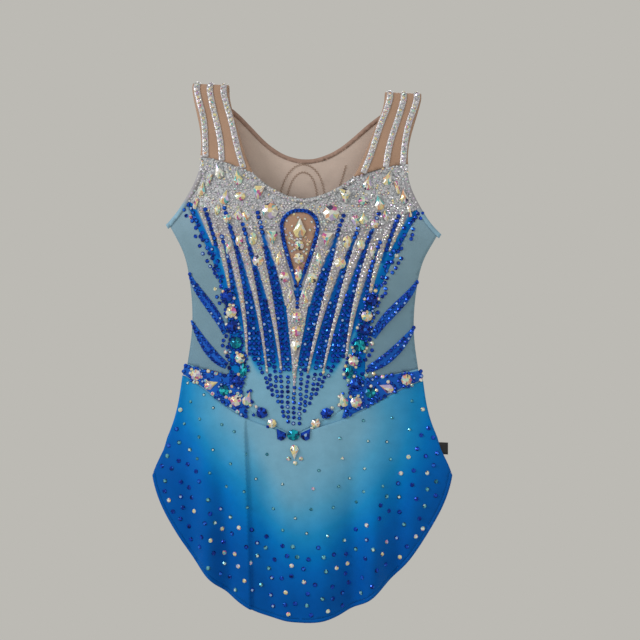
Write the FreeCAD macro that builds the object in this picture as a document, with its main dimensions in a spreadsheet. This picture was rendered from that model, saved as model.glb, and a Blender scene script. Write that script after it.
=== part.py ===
import FreeCAD, Part
import math
import os
import Sketcher

# Gymnastics leotard with an attached skirt, hanging empty from a hanger.
# Millimetres. Origin: the hanger's seat, midway between the shoulder straps, at the underside of
# their folds. +Z is up, the front faces -Y, and +X is the wearer's left.

V = FreeCAD.Vector
doc = FreeCAD.newDocument("leotard")

# ---------------------------------------------------------------- driving dimensions

SIZES = [
    ("cloth", 1.0, "thickness of a body panel, lining included"),
    ("trim_gap", 0.15, "glue line under an applied trim"),
    ("trim", 0.8, "thickness of an applied trim"),
    ("skirt_cloth", 0.8, "thickness of the skirt"),
    ("seat_radius", 7.0, "inner radius of a strap's fold"),
    ("strap_spread", 8.6, "inner half depth between a strap's two legs at the yoke"),
    ("strap_foot", -110.0, "level below every strap end"),
    ("strap_back_end", -25.0, "level where a strap joins the back"),
    ("tape_width", 7.0, "crystal tape"),
    ("binding_width", 5.0, "neck and armhole bindings"),
    ("elastic_width", 8.0, "leg elastic"),
    ("hem_width", 4.0, "rolled hem"),
    ("bend_level", -411.0, "line across which the skirt folds"),
    ("bend_gap", 1.4, "room for the fold"),
    ("slit_gap", 1.5, "opening between the skirt's two panels at the side"),
    ("gusset_half", 35.0, "half width of the gusset"),
    ("gusset_radius", 12.3, "outer radius of the gusset's turn"),
    ("lining_cloth", 0.8, "thickness of the gusset's lining"),
    ("lining_gap", 0.3, "between the gusset and its lining"),
    ("lining_inset", 3.0, "how far the lining stays inside the gusset's edges"),
    ("label_length", 27.0, "care label, along X"),
    ("label_height", 14.0, "care label, along Z"),
    ("label_cloth", 0.6, "care label, thickness"),
    ("label_offset", 5.0, "from the thigh's side edge to the care label"),
    ("rim_width", 4.0, "ring round the keyhole"),
    ("stone_gap", 0.3, "glue under a stone"),
    ("stone_rise", 0.34, "height of a stone per millimetre of its width"),
    ("stone_girdle", 0.35, "straight part of a stone's edge, as a share of its height"),
    ("stone_table", 0.55, "flat top of a stone, as a share of its width"),
    ("cloth_bow", 0.001, "how far the cloth falls away under a stone, per square millimetre"),
    ("reach", 60.0, "half length of every cutting prism"),
]

# Girth stations: name, level, half width of the flattened body, half depth at its middle.
BODY_STATIONS = [
    ("fold", 12.0, 240.0, 8.0),
    ("shoulder", -30.0, 222.0, 9.5),
    ("collar", -80.0, 196.0, 12.0),
    ("armpit", -130.0, 172.0, 16.0),
    ("chest", -163.0, 158.0, 19.0),
    ("underbust", -195.0, 141.0, 18.5),
    ("rib", -225.0, 133.5, 18.0),
    ("waist", -258.0, 130.0, 17.5),
    ("belly", -295.0, 131.0, 18.0),
    ("hip", -330.0, 136.0, 19.0),
    ("seat", -385.0, 139.0, 19.5),
    ("thigh", -440.0, 139.0, 18.0),
    ("leg", -500.0, 137.0, 15.0),
    ("crotch", -556.0, 134.0, 12.6),
]

SKIRT_STATIONS = [
    ("skirt_top", -328.0, 139.2, 20.8),
    ("skirt_seam", -368.0, 145.5, 21.4),
    ("skirt_fold", -411.0, 160.0, 21.8),
    ("skirt_flare", -450.0, 178.0, 22.5),
    ("skirt_full", -510.0, 184.0, 21.5),
    ("skirt_low", -570.0, 185.0, 19.0),
    ("skirt_hem", -624.0, 185.0, 17.0),
]

sheet = doc.addObject("Spreadsheet::Sheet", "sizes")
station_cells = [(name + suffix, value, note) for name, level, half, depth in BODY_STATIONS + SKIRT_STATIONS
                 for suffix, value, note in (("_level", level, "height of a girth station"),
                                             ("_half", half, "its half width"),
                                             ("_depth", depth, "its half depth"))]
for row, (alias, value, note) in enumerate(SIZES + station_cells, start=1):
    sheet.set(f"A{row}", alias)
    sheet.set(f"B{row}", str(value))
    sheet.setAlias(f"B{row}", alias)
    sheet.set(f"C{row}", note)
doc.recompute()


def size(alias):
    return float(getattr(sheet, alias))


# ---------------------------------------------------------------- cloth layers

def half_lens(name, station, outer_offset, inner_offset):
    """One girth section of the front half: two arcs a cloth's thickness apart, closed at the sides."""
    half, depth = size(station + "_half"), size(station + "_depth")
    radius = (half ** 2 + depth ** 2) / (2 * depth)
    centre = V(0, radius - depth, 0)
    sketch = doc.addObject("Sketcher::SketchObject", name)
    arcs = []
    for offset in (outer_offset, inner_offset):
        arc_radius = radius + size_sum(offset)
        tilt = math.asin(centre.y / arc_radius)
        circle = Part.Circle(centre, V(0, 0, 1), arc_radius)
        arcs.append(Part.ArcOfCircle(circle, math.pi + tilt, 2 * math.pi - tilt))
    outer = sketch.addGeometry(arcs[0])
    inner = sketch.addGeometry(arcs[1])
    right = sketch.addGeometry(Part.LineSegment(arcs[0].EndPoint, arcs[1].EndPoint))
    left = sketch.addGeometry(Part.LineSegment(arcs[1].StartPoint, arcs[0].StartPoint))
    start, end, middle, x_axis, y_axis = 1, 2, 3, -1, -2
    sketch.addConstraint(Sketcher.Constraint("PointOnObject", outer, middle, y_axis))
    sketch.addConstraint(Sketcher.Constraint("Coincident", outer, middle, inner, middle))
    for arc in (outer, inner):
        for tip in (start, end):
            sketch.addConstraint(Sketcher.Constraint("PointOnObject", arc, tip, x_axis))
    sketch.addConstraint(Sketcher.Constraint("Coincident", right, start, outer, end))
    sketch.addConstraint(Sketcher.Constraint("Coincident", right, end, inner, end))
    sketch.addConstraint(Sketcher.Constraint("Coincident", left, start, inner, start))
    sketch.addConstraint(Sketcher.Constraint("Coincident", left, end, outer, start))
    chord = f"(sizes.{station}_half ^ 2 - sizes.{station}_depth ^ 2) / (2 * sizes.{station}_depth)"
    bow = f"(sizes.{station}_half ^ 2 + sizes.{station}_depth ^ 2) / (2 * sizes.{station}_depth)"
    index = sketch.addConstraint(Sketcher.Constraint("DistanceY", x_axis, start, outer, middle, centre.y))
    sketch.setExpression(f"Constraints[{index}]", chord)
    for arc, offset in ((outer, outer_offset), (inner, inner_offset)):
        index = sketch.addConstraint(Sketcher.Constraint("Radius", arc, radius + size_sum(offset)))
        sketch.setExpression(f"Constraints[{index}]", bow + sheet_sum(offset))
    sketch.setExpression("Placement.Base.z", f"sizes.{station}_level")
    return sketch


def size_sum(offset):
    """Value of a signed list of aliases, such as ("+trim_gap", "+trim")."""
    return sum(size(alias[1:]) * (1 if alias[0] == "+" else -1) for alias in offset)


def sheet_sum(offset):
    """The same sum as text for an expression."""
    return "".join(f" {alias[0]} sizes.{alias[1:]}" for alias in offset)


def cloth_layer(name, stations, outer_offset, inner_offset):
    """Front half of a cloth tube, lofted through its stations, and its mirror image behind."""
    sections = [half_lens(f"{name}_{station[0]}", station[0], outer_offset, inner_offset)
                for station in stations]
    front = doc.addObject("Part::Loft", name + "_front")
    front.Sections = sections
    front.Solid = True
    front.Ruled = False
    back = doc.addObject("Part::Mirroring", name + "_back")
    back.Source = front
    back.Normal = V(0, 1, 0)
    return {"front": front, "back": back}


body = cloth_layer("body_cloth", BODY_STATIONS, (), ("-cloth",))
trim = cloth_layer("trim_cloth", BODY_STATIONS, ("+trim_gap", "+trim"), ("+trim_gap",))
skirt = cloth_layer("skirt_cloth", SKIRT_STATIONS, (), ("-skirt_cloth",))


# ---------------------------------------------------------------- outlines and prisms

def curve(points):
    """Two points make a line, three an arc, more a smooth curve through all of them."""
    places = [V(x, z, 0) for x, z in points]
    if len(places) == 2:
        return Part.LineSegment(*places)
    if len(places) == 3:
        return Part.Arc(*places)
    spline = Part.BSplineCurve()
    spline.interpolate(places)
    return spline


def prism(name, runs, side=1):
    """A closed outline in the XZ plane, pushed through the whole depth. side -1 mirrors it."""
    sketch = doc.addObject("Sketcher::SketchObject", name + "_outline")
    sketch.Placement = FreeCAD.Placement(V(0, 0, 0), FreeCAD.Rotation(V(1, 0, 0), 90))
    for run in runs:
        sketch.addGeometry(curve([(side * x, z) for x, z in run]))
    pushed = doc.addObject("Part::Extrusion", name + "_prism")
    pushed.Base = sketch
    pushed.DirMode = "Custom"
    pushed.Dir = V(0, 1, 0)
    pushed.Solid = True
    pushed.setExpression("LengthFwd", "sizes.reach")
    pushed.setExpression("LengthRev", "sizes.reach")
    return pushed


def shifted(points, widths):
    """Points moved to the left of their path, each by its own width."""
    moved = []
    for i, (x, z) in enumerate(points):
        x0, z0 = points[max(i - 1, 0)]
        x1, z1 = points[min(i + 1, len(points) - 1)]
        length = math.hypot(x1 - x0, z1 - z0)
        moved.append((x - (z1 - z0) / length * widths[i], z + (x1 - x0) / length * widths[i]))
    return moved


def ribbon(points, widths):
    """Closed outline of a ribbon along a path; widths are full widths at its points."""
    left = shifted(points, [w / 2 for w in widths])
    right = shifted(points, [-w / 2 for w in widths])
    return [left, [left[-1], right[-1]], right[::-1], [right[0], left[0]]]


def band(points, width):
    """Closed outline between a path and its copy, moved to the left by one width."""
    inner = shifted(points, [width] * len(points))
    return [points, [points[-1], inner[-1]], inner[::-1], [inner[0], points[0]]]


def mirrored(points):
    """A path from the right edge to the middle, carried on to the left edge."""
    return points + [(-x, z) for x, z in points[-2::-1]]


def flipped(points):
    """The same path on the left-hand side."""
    return [(-x, z) for x, z in points]


def closed(runs):
    """Runs on the right-hand side, closed by their mirror image from the middle back."""
    return runs + [flipped(run)[::-1] for run in runs[::-1]]


nodes = {}


def common(name, *shapes):
    piece = doc.addObject("Part::MultiCommon", name)
    piece.Shapes = list(shapes)
    piece.Label = name
    nodes[name] = piece
    return piece


def cut(name, base, tool):
    piece = doc.addObject("Part::Cut", name)
    piece.Base = base
    piece.Tool = tool
    piece.Label = name
    nodes[name] = piece
    return piece


# Right-hand half of each edge (x, z); the left-hand half is its mirror image.
STRAP_INNER = [(91, 12), (89, -20), (80, -46), (71, -73), (58, -102)]
STRAP_OUTER = [(135, 12), (132, -14), (126, -38), (121, -62), (121, -84)]
YOKE_TOP = [(121, -84), (105, -87), (88, -91), (72, -97), (58, -102)]
NECK_FRONT = [(58, -102), (43, -114), (22, -125), (0, -130)]
NECK_BACK = [(87, -25), (64, -45), (40, -66), (18, -77), (0, -80)]
ARMHOLE_YOKE = [(121, -84), (122, -102), (137, -134)]
ARMHOLE_MESH = [(137, -134), (146, -148), (160, -163)]
ARMHOLE_BACK = [(129, -25), (121, -62), (122, -102), (137, -134)]
YOKE_FOOT = [(137, -134), (105, -152), (66, -166), (19, -162)]
KEYHOLE = [(19, -162), (15, -182), (7, -208), (0, -233)]
KEYHOLE_TOP_HALF = [(19, -162), (13, -150), (0, -146)]
BODICE_SIDE = [(137, -134), (120, -170), (103, -205), (90, -240), (82, -275), (79, -337)]
BODICE_FOOT = [(79, -337), (62, -366), (34, -386), (0, -403)]
BACK_FOOT = [(137, -134), (98, -170), (48, -188), (0, -192)]
BELT_TOP = [(136, -324), (108, -331), (79, -337)]
SKIRT_TOP = [(150, -335), (120, -348), (92, -365), (66, -380), (36, -391), (0, -404)]
SKIRT_BACK_TOP = [(150, -335), (80, -352), (0, -358)]
HEM = [(176, -450), (165, -485), (148, -515), (115, -559), (78, -592), (42, -611), (0, -618)]
LEG_LINE = [(150, -408), (112, -452), (70, -504), (35, -556)]
CROTCH_LINE = [(35, -556), (0, -556)]
BACK_WAIST = [(79, -337), (0, -337)]
SIDE_LIMIT = 200
ARMPIT_LEVEL, WAIST_LEVEL, LEG_LEVEL = -163, -324, -408
SIDES = (("left", -1), ("right", 1))
BRIEF_SIDE = [[BELT_TOP[0], (SIDE_LIMIT, WAIST_LEVEL)], [(SIDE_LIMIT, WAIST_LEVEL), (SIDE_LIMIT, LEG_LEVEL)],
              [(SIDE_LIMIT, LEG_LEVEL), LEG_LINE[0]]]


# ---------------------------------------------------------------- straps and their tapes

def strap_arch(name, gap, cloth):
    """A strap's side view: a fold over the hanger arm and two legs, pushed through the width."""
    seat, spread = size("seat_radius") + gap, size("strap_spread") + gap
    foot, turn = size("strap_foot"), -size("seat_radius")
    sketch = doc.addObject("Sketcher::SketchObject", name + "_outline")
    sketch.Placement = FreeCAD.Placement(V(0, 0, 0), FreeCAD.Rotation(V(1, 1, 1), 120))
    for edge in ([(-seat - cloth, turn), (0, gap + cloth), (seat + cloth, turn)],
                 [(seat + cloth, turn), (spread + cloth, foot)],
                 [(spread + cloth, foot), (spread, foot)],
                 [(spread, foot), (seat, turn)],
                 [(seat, turn), (0, gap), (-seat, turn)],
                 [(-seat, turn), (-spread, foot)],
                 [(-spread, foot), (-spread - cloth, foot)],
                 [(-spread - cloth, foot), (-seat - cloth, turn)]):
        sketch.addGeometry(curve(edge))
    arch = doc.addObject("Part::Extrusion", name)
    arch.Base = sketch
    arch.DirMode = "Custom"
    arch.Dir = V(1, 0, 0)
    arch.Solid = True
    arch.LengthFwd = SIDE_LIMIT
    arch.LengthRev = SIDE_LIMIT
    return arch


def box(name, corner, lengths):
    block = doc.addObject("Part::Box", name)
    block.Placement.Base = V(*corner)
    block.Length, block.Width, block.Height = lengths
    return block


def straps():
    """Each strap ends at the yoke in front, and higher up at the back."""
    tape_base = size("cloth") + size("trim_gap")
    strap_cloth = strap_arch("strap_cloth", 0, size("cloth"))
    tape_cloth = strap_arch("tape_cloth", tape_base, size("trim"))
    room = size("reach")
    behind = box("behind_straps", (-SIDE_LIMIT, 0, size("strap_back_end") - 2 * room),
                 (2 * SIDE_LIMIT, room, 2 * room))
    strap_edge = [STRAP_INNER, YOKE_TOP[::-1], STRAP_OUTER[::-1], [STRAP_OUTER[0], STRAP_INNER[0]]]
    tapes = {
        "inner": [(98, 12), (96, -12), (87, -40), (78, -72), (71, -92)],
        "middle": [(115, 12), (112, -12), (104, -42), (98, -66), (96, -84)],
        "outer": [(130, 12), (127, -12), (119, -40), (116, -62), (115, -80)],
    }
    for side_name, side in SIDES:
        name = "strap_" + side_name
        leg = doc.addObject("Part::MultiCommon", name + "_whole")
        leg.Shapes = [strap_cloth, prism(name, strap_edge, side)]
        cut(name, leg, behind)
        for tape_name, path in tapes.items():
            name = f"strap_tape_{side_name}_{tape_name}"
            leg = doc.addObject("Part::MultiCommon", name + "_whole")
            leg.Shapes = [tape_cloth, prism(name, ribbon(path, [size("tape_width")] * len(path)), side)]
            cut(name, leg, behind)


straps()


# ---------------------------------------------------------------- body panels

def front_panels():
    yoke_runs = [KEYHOLE_TOP_HALF[::-1], YOKE_FOOT[::-1], ARMHOLE_YOKE[::-1], YOKE_TOP, NECK_FRONT]
    common("front_yoke", body["front"], prism("front_yoke", closed(yoke_runs)))
    keyhole_runs = [KEYHOLE[::-1], KEYHOLE_TOP_HALF]
    common("keyhole_inset", body["front"], prism("keyhole_inset", closed(keyhole_runs)))
    bodice_runs = [KEYHOLE[::-1], YOKE_FOOT[::-1], BODICE_SIDE, BODICE_FOOT]
    common("front_bodice", body["front"], prism("front_bodice", closed(bodice_runs)))
    brief_runs = [BODICE_FOOT[::-1], BELT_TOP[::-1], *BRIEF_SIDE, LEG_LINE, CROTCH_LINE]
    common("brief_front", body["front"], prism("brief_front", closed(brief_runs)))


def back_panels():
    upper_runs = [BACK_FOOT[::-1], ARMHOLE_BACK[::-1], [ARMHOLE_BACK[0], NECK_BACK[0]], NECK_BACK]
    common("back_upper", body["back"], prism("back_upper", closed(upper_runs)))
    lower_runs = [BACK_FOOT[::-1], BODICE_SIDE, BACK_WAIST]
    common("back_lower", body["back"], prism("back_lower", closed(lower_runs)))
    brief_runs = [BACK_WAIST[::-1], BELT_TOP[::-1], *BRIEF_SIDE, LEG_LINE, CROTCH_LINE]
    common("brief_back", body["back"], prism("brief_back", closed(brief_runs)))


def side_panels():
    """Mesh panels between the bodice and the side seam, front and back."""
    side_edge = [ARMHOLE_MESH, [ARMHOLE_MESH[-1], (SIDE_LIMIT, ARMPIT_LEVEL)],
                 [(SIDE_LIMIT, ARMPIT_LEVEL), (SIDE_LIMIT, WAIST_LEVEL)],
                 [(SIDE_LIMIT, WAIST_LEVEL), BELT_TOP[0]], BELT_TOP, BODICE_SIDE[::-1]]
    for side_name, side in SIDES:
        for face in ("front", "back"):
            name = f"side_mesh_{face}_{side_name}"
            common(name, body[face], prism(name, side_edge, side))


front_panels()
back_panels()
side_panels()


# ---------------------------------------------------------------- gusset and care label

def turned_strip(name, outer_radius, cloth, half_width):
    """A strip that turns under the crotch, from the front panel to the back one."""
    ring = doc.addObject("Part::Cylinder", name + "_outside")
    hollow = doc.addObject("Part::Cylinder", name + "_inside")
    for cylinder, radius in ((ring, outer_radius), (hollow, outer_radius - cloth)):
        cylinder.Radius = radius
        cylinder.Height = 2 * half_width
        cylinder.Placement = FreeCAD.Placement(V(-half_width, 0, size("crotch_level")),
                                               FreeCAD.Rotation(V(0, 1, 0), 90))
    pipe = doc.addObject("Part::Cut", name + "_pipe")
    pipe.Base = ring
    pipe.Tool = hollow
    above = box(name + "_above", (-SIDE_LIMIT, -SIDE_LIMIT, size("crotch_level")),
                (2 * SIDE_LIMIT, 2 * SIDE_LIMIT, SIDE_LIMIT))
    cut(name, pipe, above)


def care_label():
    """Sewn into the side seam of the brief, it comes out between the skirt's panels."""
    label = box("care_label", (0, 0, 0), (1, 1, 1))
    label.Label = "care_label"
    for measure, alias in (("Length", "label_length"), ("Width", "label_cloth"), ("Height", "label_height")):
        label.setExpression(measure, "sizes." + alias)
    label.setExpression("Placement.Base.x", "sizes.thigh_half + sizes.label_offset")
    label.setExpression("Placement.Base.y", "-sizes.label_cloth / 2")
    label.setExpression("Placement.Base.z", "sizes.bend_level - sizes.bend_gap - sizes.label_height")
    nodes["care_label"] = label


turned_strip("gusset", size("gusset_radius"), size("cloth"), size("gusset_half"))
lining_radius = size("gusset_radius") - size("cloth") - size("lining_gap")
turned_strip("gusset_lining", lining_radius, size("lining_cloth"), size("gusset_half") - size("lining_inset"))
care_label()


# ---------------------------------------------------------------- skirt

def skirt_pieces():
    """The skirt is sewn to the body above the line where it folds, and hangs free below it."""
    fold = size("bend_level")
    top = fold - size("bend_gap")
    hem_path = mirrored(HEM)
    hem_inner = shifted(hem_path, [-size("hem_width")] * len(hem_path))
    corner = hem_inner[0][1]
    below = 2 * HEM[-1][1]
    slit = box("side_slit", (-SIDE_LIMIT, -size("slit_gap") / 2, below),
               (2 * SIDE_LIMIT, size("slit_gap"), fold - below))
    for face, seam in (("front", SKIRT_TOP), ("back", SKIRT_BACK_TOP)):
        upper_runs = [seam[::-1], [seam[0], (SIDE_LIMIT, seam[0][1])],
                      [(SIDE_LIMIT, seam[0][1]), (SIDE_LIMIT, fold)], [(SIDE_LIMIT, fold), (0, fold)]]
        common(f"skirt_seam_{face}", skirt[face], prism(f"skirt_seam_{face}", closed(upper_runs)))
        panel_edge = [[(-SIDE_LIMIT, top), (SIDE_LIMIT, top)], [(SIDE_LIMIT, top), (SIDE_LIMIT, corner)],
                      [(SIDE_LIMIT, corner), hem_inner[0]], hem_inner,
                      [hem_inner[-1], (-SIDE_LIMIT, corner)], [(-SIDE_LIMIT, corner), (-SIDE_LIMIT, top)]]
        hem_edge = [hem_path, [hem_path[-1], hem_inner[-1]], hem_inner[::-1], [hem_inner[0], hem_path[0]]]
        for name, edge in ((f"skirt_{face}", panel_edge), (f"hem_{face}", hem_edge)):
            whole = doc.addObject("Part::MultiCommon", name + "_whole")
            whole.Shapes = [skirt[face], prism(name, edge)]
            cut(name, whole, slit)


skirt_pieces()


# ---------------------------------------------------------------- applied trims

def both_faces(name, edge, side=1):
    """A trim that runs round the side seam, on the front and on the back."""
    tool = prism(name, edge, side)
    halves = []
    for face in ("front", "back"):
        half = doc.addObject("Part::MultiCommon", f"{name}_{face}")
        half.Shapes = [trim[face], tool]
        halves.append(half)
    piece = doc.addObject("Part::MultiFuse", name)
    piece.Shapes = halves
    piece.Refine = True
    piece.Label = name
    nodes[name] = piece


def group(name, layer, prisms):
    """Several separate pieces of one kind, cut from one layer."""
    tools = doc.addObject("Part::Compound", name + "_prisms")
    tools.Links = prisms
    common(name, layer, tools)


ARMHOLE_SEAM = [(122, -102), (128, -118), (137, -134), (147, -149), (160, -163), (169, -171)]
# Path of each blade of the fan, and its widths along it.
FAN = [
    ([(118, -146), (111, -163), (102, -187)], [6, 5, 2]),
    ([(101, -162), (92, -190), (80, -246)], [6, 6, 2]),
    ([(85, -178), (71, -225), (57, -314)], [9, 7, 2]),
    ([(71, -172), (54, -227), (32, -332)], [11, 7, 2]),
    ([(52, -178), (35, -235), (15, -331)], [13, 8, 2]),
]
CENTRE_ARM = ([(30, -171), (26, -187), (19.5, -210), (13, -232), (7.5, -252)], [16, 15, 12.5, 12.5, 14])
CENTRE_WEDGE = ([(0, -246), (0, -262), (0, -300), (0, -360)], [27, 23, 12, 1])
SIDE_STRIPES = {
    "upper": ([(134, -219), (121, -240), (103, -261), (86, -288)], [2, 9, 11, 6]),
    "lower": ([(131, -274), (113, -300), (98, -315), (82, -325)], [2, 11, 12, 8]),
}
BELT_EDGE = [[(150, -322), (108, -331), (79, -337), (64, -343)], [(64, -343), (54, -383)],
             [(54, -383), (90, -364), (118, -347), (150, -334)], [(150, -334), (150, -322)]]


def bindings():
    width = size("binding_width")
    for face, neckline in (("front", NECK_FRONT), ("back", NECK_BACK)):
        name = "neck_binding_" + face
        common(name, trim[face], prism(name, band(mirrored(neckline), width)))
    for side_name, side in SIDES:
        both_faces("armhole_binding_" + side_name, band(ARMHOLE_SEAM, -width), side)
        both_faces("leg_elastic_" + side_name, band(LEG_LINE, -size("elastic_width")), side)


def stripes_and_belts():
    for side_name, side in SIDES:
        blades = [prism(f"fan_{side_name}_{i}", ribbon(*blade), side) for i, blade in enumerate(FAN)]
        group("fan_stripes_" + side_name, trim["front"], blades)
        for level, (path, widths) in SIDE_STRIPES.items():
            name = f"side_stripe_{level}_{side_name}"
            common(name, trim["front"], prism(name, ribbon(path, widths), side))
        name = "hip_belt_" + side_name
        common(name, trim["front"], prism(name, BELT_EDGE, side))
    arms = [prism(f"fan_arm_{side_name}", ribbon(*CENTRE_ARM), side) for side_name, side in SIDES]
    wedge = prism("fan_wedge", ribbon(*CENTRE_WEDGE))
    centre = doc.addObject("Part::MultiFuse", "fan_centre_prisms")
    centre.Shapes = arms + [wedge]
    common("fan_centre", trim["front"], centre)


def keyhole_rim():
    """A flat ring round the keyhole."""
    rim = size("rim_width")
    side = shifted(KEYHOLE, [rim] * len(KEYHOLE))
    point = (0, KEYHOLE[-1][1] - 2 * rim)
    shoulder_x, shoulder_z = KEYHOLE_TOP_HALF[1]
    shoulder = (shoulder_x + rim * math.sqrt(0.5), shoulder_z + rim * math.sqrt(0.5))
    crown = (0, KEYHOLE_TOP_HALF[-1][1] + rim)
    outside_runs = [[point] + side[-2::-1], [side[0], shoulder, crown]]
    ring = doc.addObject("Part::Cut", "keyhole_ring")
    ring.Base = prism("keyhole_ring_outside", closed(outside_runs))
    ring.Tool = prism("keyhole_ring_inside", closed([KEYHOLE[::-1], KEYHOLE_TOP_HALF]))
    common("keyhole_rim", trim["front"], ring)


bindings()
stripes_and_belts()
keyhole_rim()


# ---------------------------------------------------------------- sewn-on stones

PROBE = 2.0  # either side of a stone, to find the slope of the cloth under it


def surface_depth(layer, x, z):
    """The outer face's y where a line along Y first meets a layer."""
    line = Part.makeLine(V(x, -size("reach"), z), V(x, 0, z))
    return layer.Shape.common(line).BoundBox.YMin


def stone_outline(kind, width, length, level):
    """A stone's girdle as a closed polygon; drops and kites point up."""
    w, l = width / 2, length / 2
    corners = {
        "round": [(w * math.cos(i * math.pi / 4), l * math.sin(i * math.pi / 4)) for i in range(8)],
        "drop": [(0, l), (0.55 * w, 0.25 * l), (w, -0.35 * l), (0.6 * w, -0.88 * l), (0, -l),
                 (-0.6 * w, -0.88 * l), (-w, -0.35 * l), (-0.55 * w, 0.25 * l)],
        "navette": [(0, l), (0.75 * w, 0.5 * l), (w, 0), (0.75 * w, -0.5 * l), (0, -l),
                    (-0.75 * w, -0.5 * l), (-w, 0), (-0.75 * w, 0.5 * l)],
        "baguette": [(w, l), (w, -l), (-w, -l), (-w, l)],
        "trilliant": [(-w, l), (w, l), (0.15 * w, -l), (-0.15 * w, -l)],
        "kite": [(0, l), (w, 0.3 * l), (0, -l), (-w, 0.3 * l)],
    }[kind]
    points = [V(x, y, level) for x, y in corners]
    return Part.makePolygon(points + points[:1])


def stone(kind, x, z, width, length, turn, layer, lift):
    """A faceted stone that lies on the cloth, turned in its plane by turn degrees."""
    rise = size("stone_rise") * width
    girdle = size("stone_girdle") * rise
    table = size("stone_table")
    cut_stone = Part.makeLoft([stone_outline(kind, width, length, 0),
                               stone_outline(kind, width, length, girdle),
                               stone_outline(kind, table * width, table * length, rise)], True, True)
    y = surface_depth(layer, x, z)
    slope_x = (surface_depth(layer, x + PROBE, z) - surface_depth(layer, x - PROBE, z)) / (2 * PROBE)
    slope_z = (surface_depth(layer, x, z + PROBE) - surface_depth(layer, x, z - PROBE)) / (2 * PROBE)
    outward = V(slope_x, -1, slope_z)
    face = FreeCAD.Rotation(V(1, 0, 0), V(0, 0, 1), outward, "ZXY")
    sag = (length / 2) ** 2 * size("cloth_bow")
    cut_stone.Placement = FreeCAD.Placement(V(x, y, z) + outward.normalize() * (lift + sag),
                                            face * FreeCAD.Rotation(V(0, 0, 1), turn))
    return cut_stone


# Kind, then x, z, width, length and turn of one stone of each mirrored pair.
SIDE_STONES = {
    "drops": ("drop", [(98, -101, 9, 16, -20), (117, -122, 8, 14, 10), (75, -108, 9, 15, -10),
                       (89, -131, 10, 15, 15), (72, -150, 9, 12, 5), (55, -361, 9, 14, 20),
                       (101, -347, 9, 15, 70)]),
    "navettes": ("navette", [(97, -146, 6, 12, 10), (23, -200, 6, 15, 8), (83, -189, 5, 14, 10)]),
    "baguettes": ("baguette", [(109, -112, 5, 15, 15), (124, -139, 5, 13, 15), (9, -243, 5, 14, 12)]),
    "rounds": ("round", [(35, -146, 17, 17, 0), (47, -203, 12, 12, 0), (16, -221, 11, 11, 0),
                         (78, -263, 12, 12, 0), (65, -316, 11, 11, 0), (122, -337, 12, 12, 0),
                         (69, -364, 12, 12, 0), (85, -156, 9, 9, 0)]),
    "fancies": ("trilliant", [(50, -125, 13, 13, 0), (31, -176, 13, 13, 0)]),
    "kites": ("kite", [(63, -153, 11, 12, 0)]),
    "ovals": ("round", [(71, -130, 11, 9, 0), (70, -181, 8, 11, 0), (54, -178, 9, 13, 0)]),
    "sapphires": ("round", [(76, -279, 12, 12, 0), (83, -245, 12, 12, 0), (68, -342, 12, 12, 0)]),
    "teals": ("round", [(71, -298, 12, 12, 0), (61, -329, 8, 13, 0), (84, -353, 11, 11, 0)]),
    "chain": ("round", [(37, -377, 13, 13, 0), (25, -389, 11, 11, 0)]),
}
MIDDLE_STONES = {
    "keyhole": [("drop", 0, -164, 13, 20, 0), ("round", 0, -184, 10, 10, 0), ("round", 0, -199, 11, 11, 0),
                ("navette", 0, -217, 8, 17, 0)],
    "rounds": [("round", 0, -267, 11, 11, 0), ("round", 0, -283, 11, 11, 0)],
    "drops": [("drop", 0, -303, 10, 16, 180)],
}
# These lie over the skirt's seam: the lowest stones of the chain above the fold, and its pendant below.
CHAIN_LOW_STONES = [("round", 0, -402, 15, 13, 0), ("drop", 15, -401, 12, 15, -35),
                    ("drop", -15, -401, 12, 15, 35)]
PENDANT_STONES = [("drop", 0, -421.5, 10, 17, 180), ("round", -7, -429, 5, 5, 0), ("round", 7, -429, 5, 5, 0),
                  ("round", 0, -434, 5, 5, 0)]


def stone_group(name, stones):
    piece = doc.addObject("Part::Feature", name)
    piece.Shape = Part.makeCompound(stones)
    piece.Label = name
    nodes[name] = piece


def stone_groups():
    doc.recompute()
    lift = size("trim_gap") + size("trim") + size("stone_gap")
    for name in sorted(set(SIDE_STONES) | set(MIDDLE_STONES)):
        kind, places = SIDE_STONES.get(name, (None, []))
        stones = [stone(kind, side * x, z, width, length, side * turn, body["front"], lift)
                  for x, z, width, length, turn in places for side in (-1, 1)]
        stones += [stone(*middle, body["front"], lift) for middle in MIDDLE_STONES.get(name, [])]
        stone_group("stones_" + name, stones)
    for name, places in (("stones_chain_low", CHAIN_LOW_STONES), ("pendant_stones", PENDANT_STONES)):
        stone_group(name, [stone(*place, skirt["front"], size("stone_gap")) for place in places])


stone_groups()


# ---------------------------------------------------------------- checks and files

doc.recompute()
for piece in doc.Objects:
    if {"Invalid", "Error"} & set(piece.State):
        raise RuntimeError(f"{piece.Name} failed: {piece.State}")
os.makedirs("parts", exist_ok=True)
for node, piece in nodes.items():
    shape = piece.Shape
    if shape.isNull() or not shape.isValid() or shape.Volume <= 0:
        raise RuntimeError(f"{node} has no valid shape")
    shape.exportStep(f"parts/{node}.step")
    print(f"{node}: {len(shape.Solids)} solid(s), {shape.Volume:.0f} mm3")
print(len(nodes), "nodes")
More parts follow.
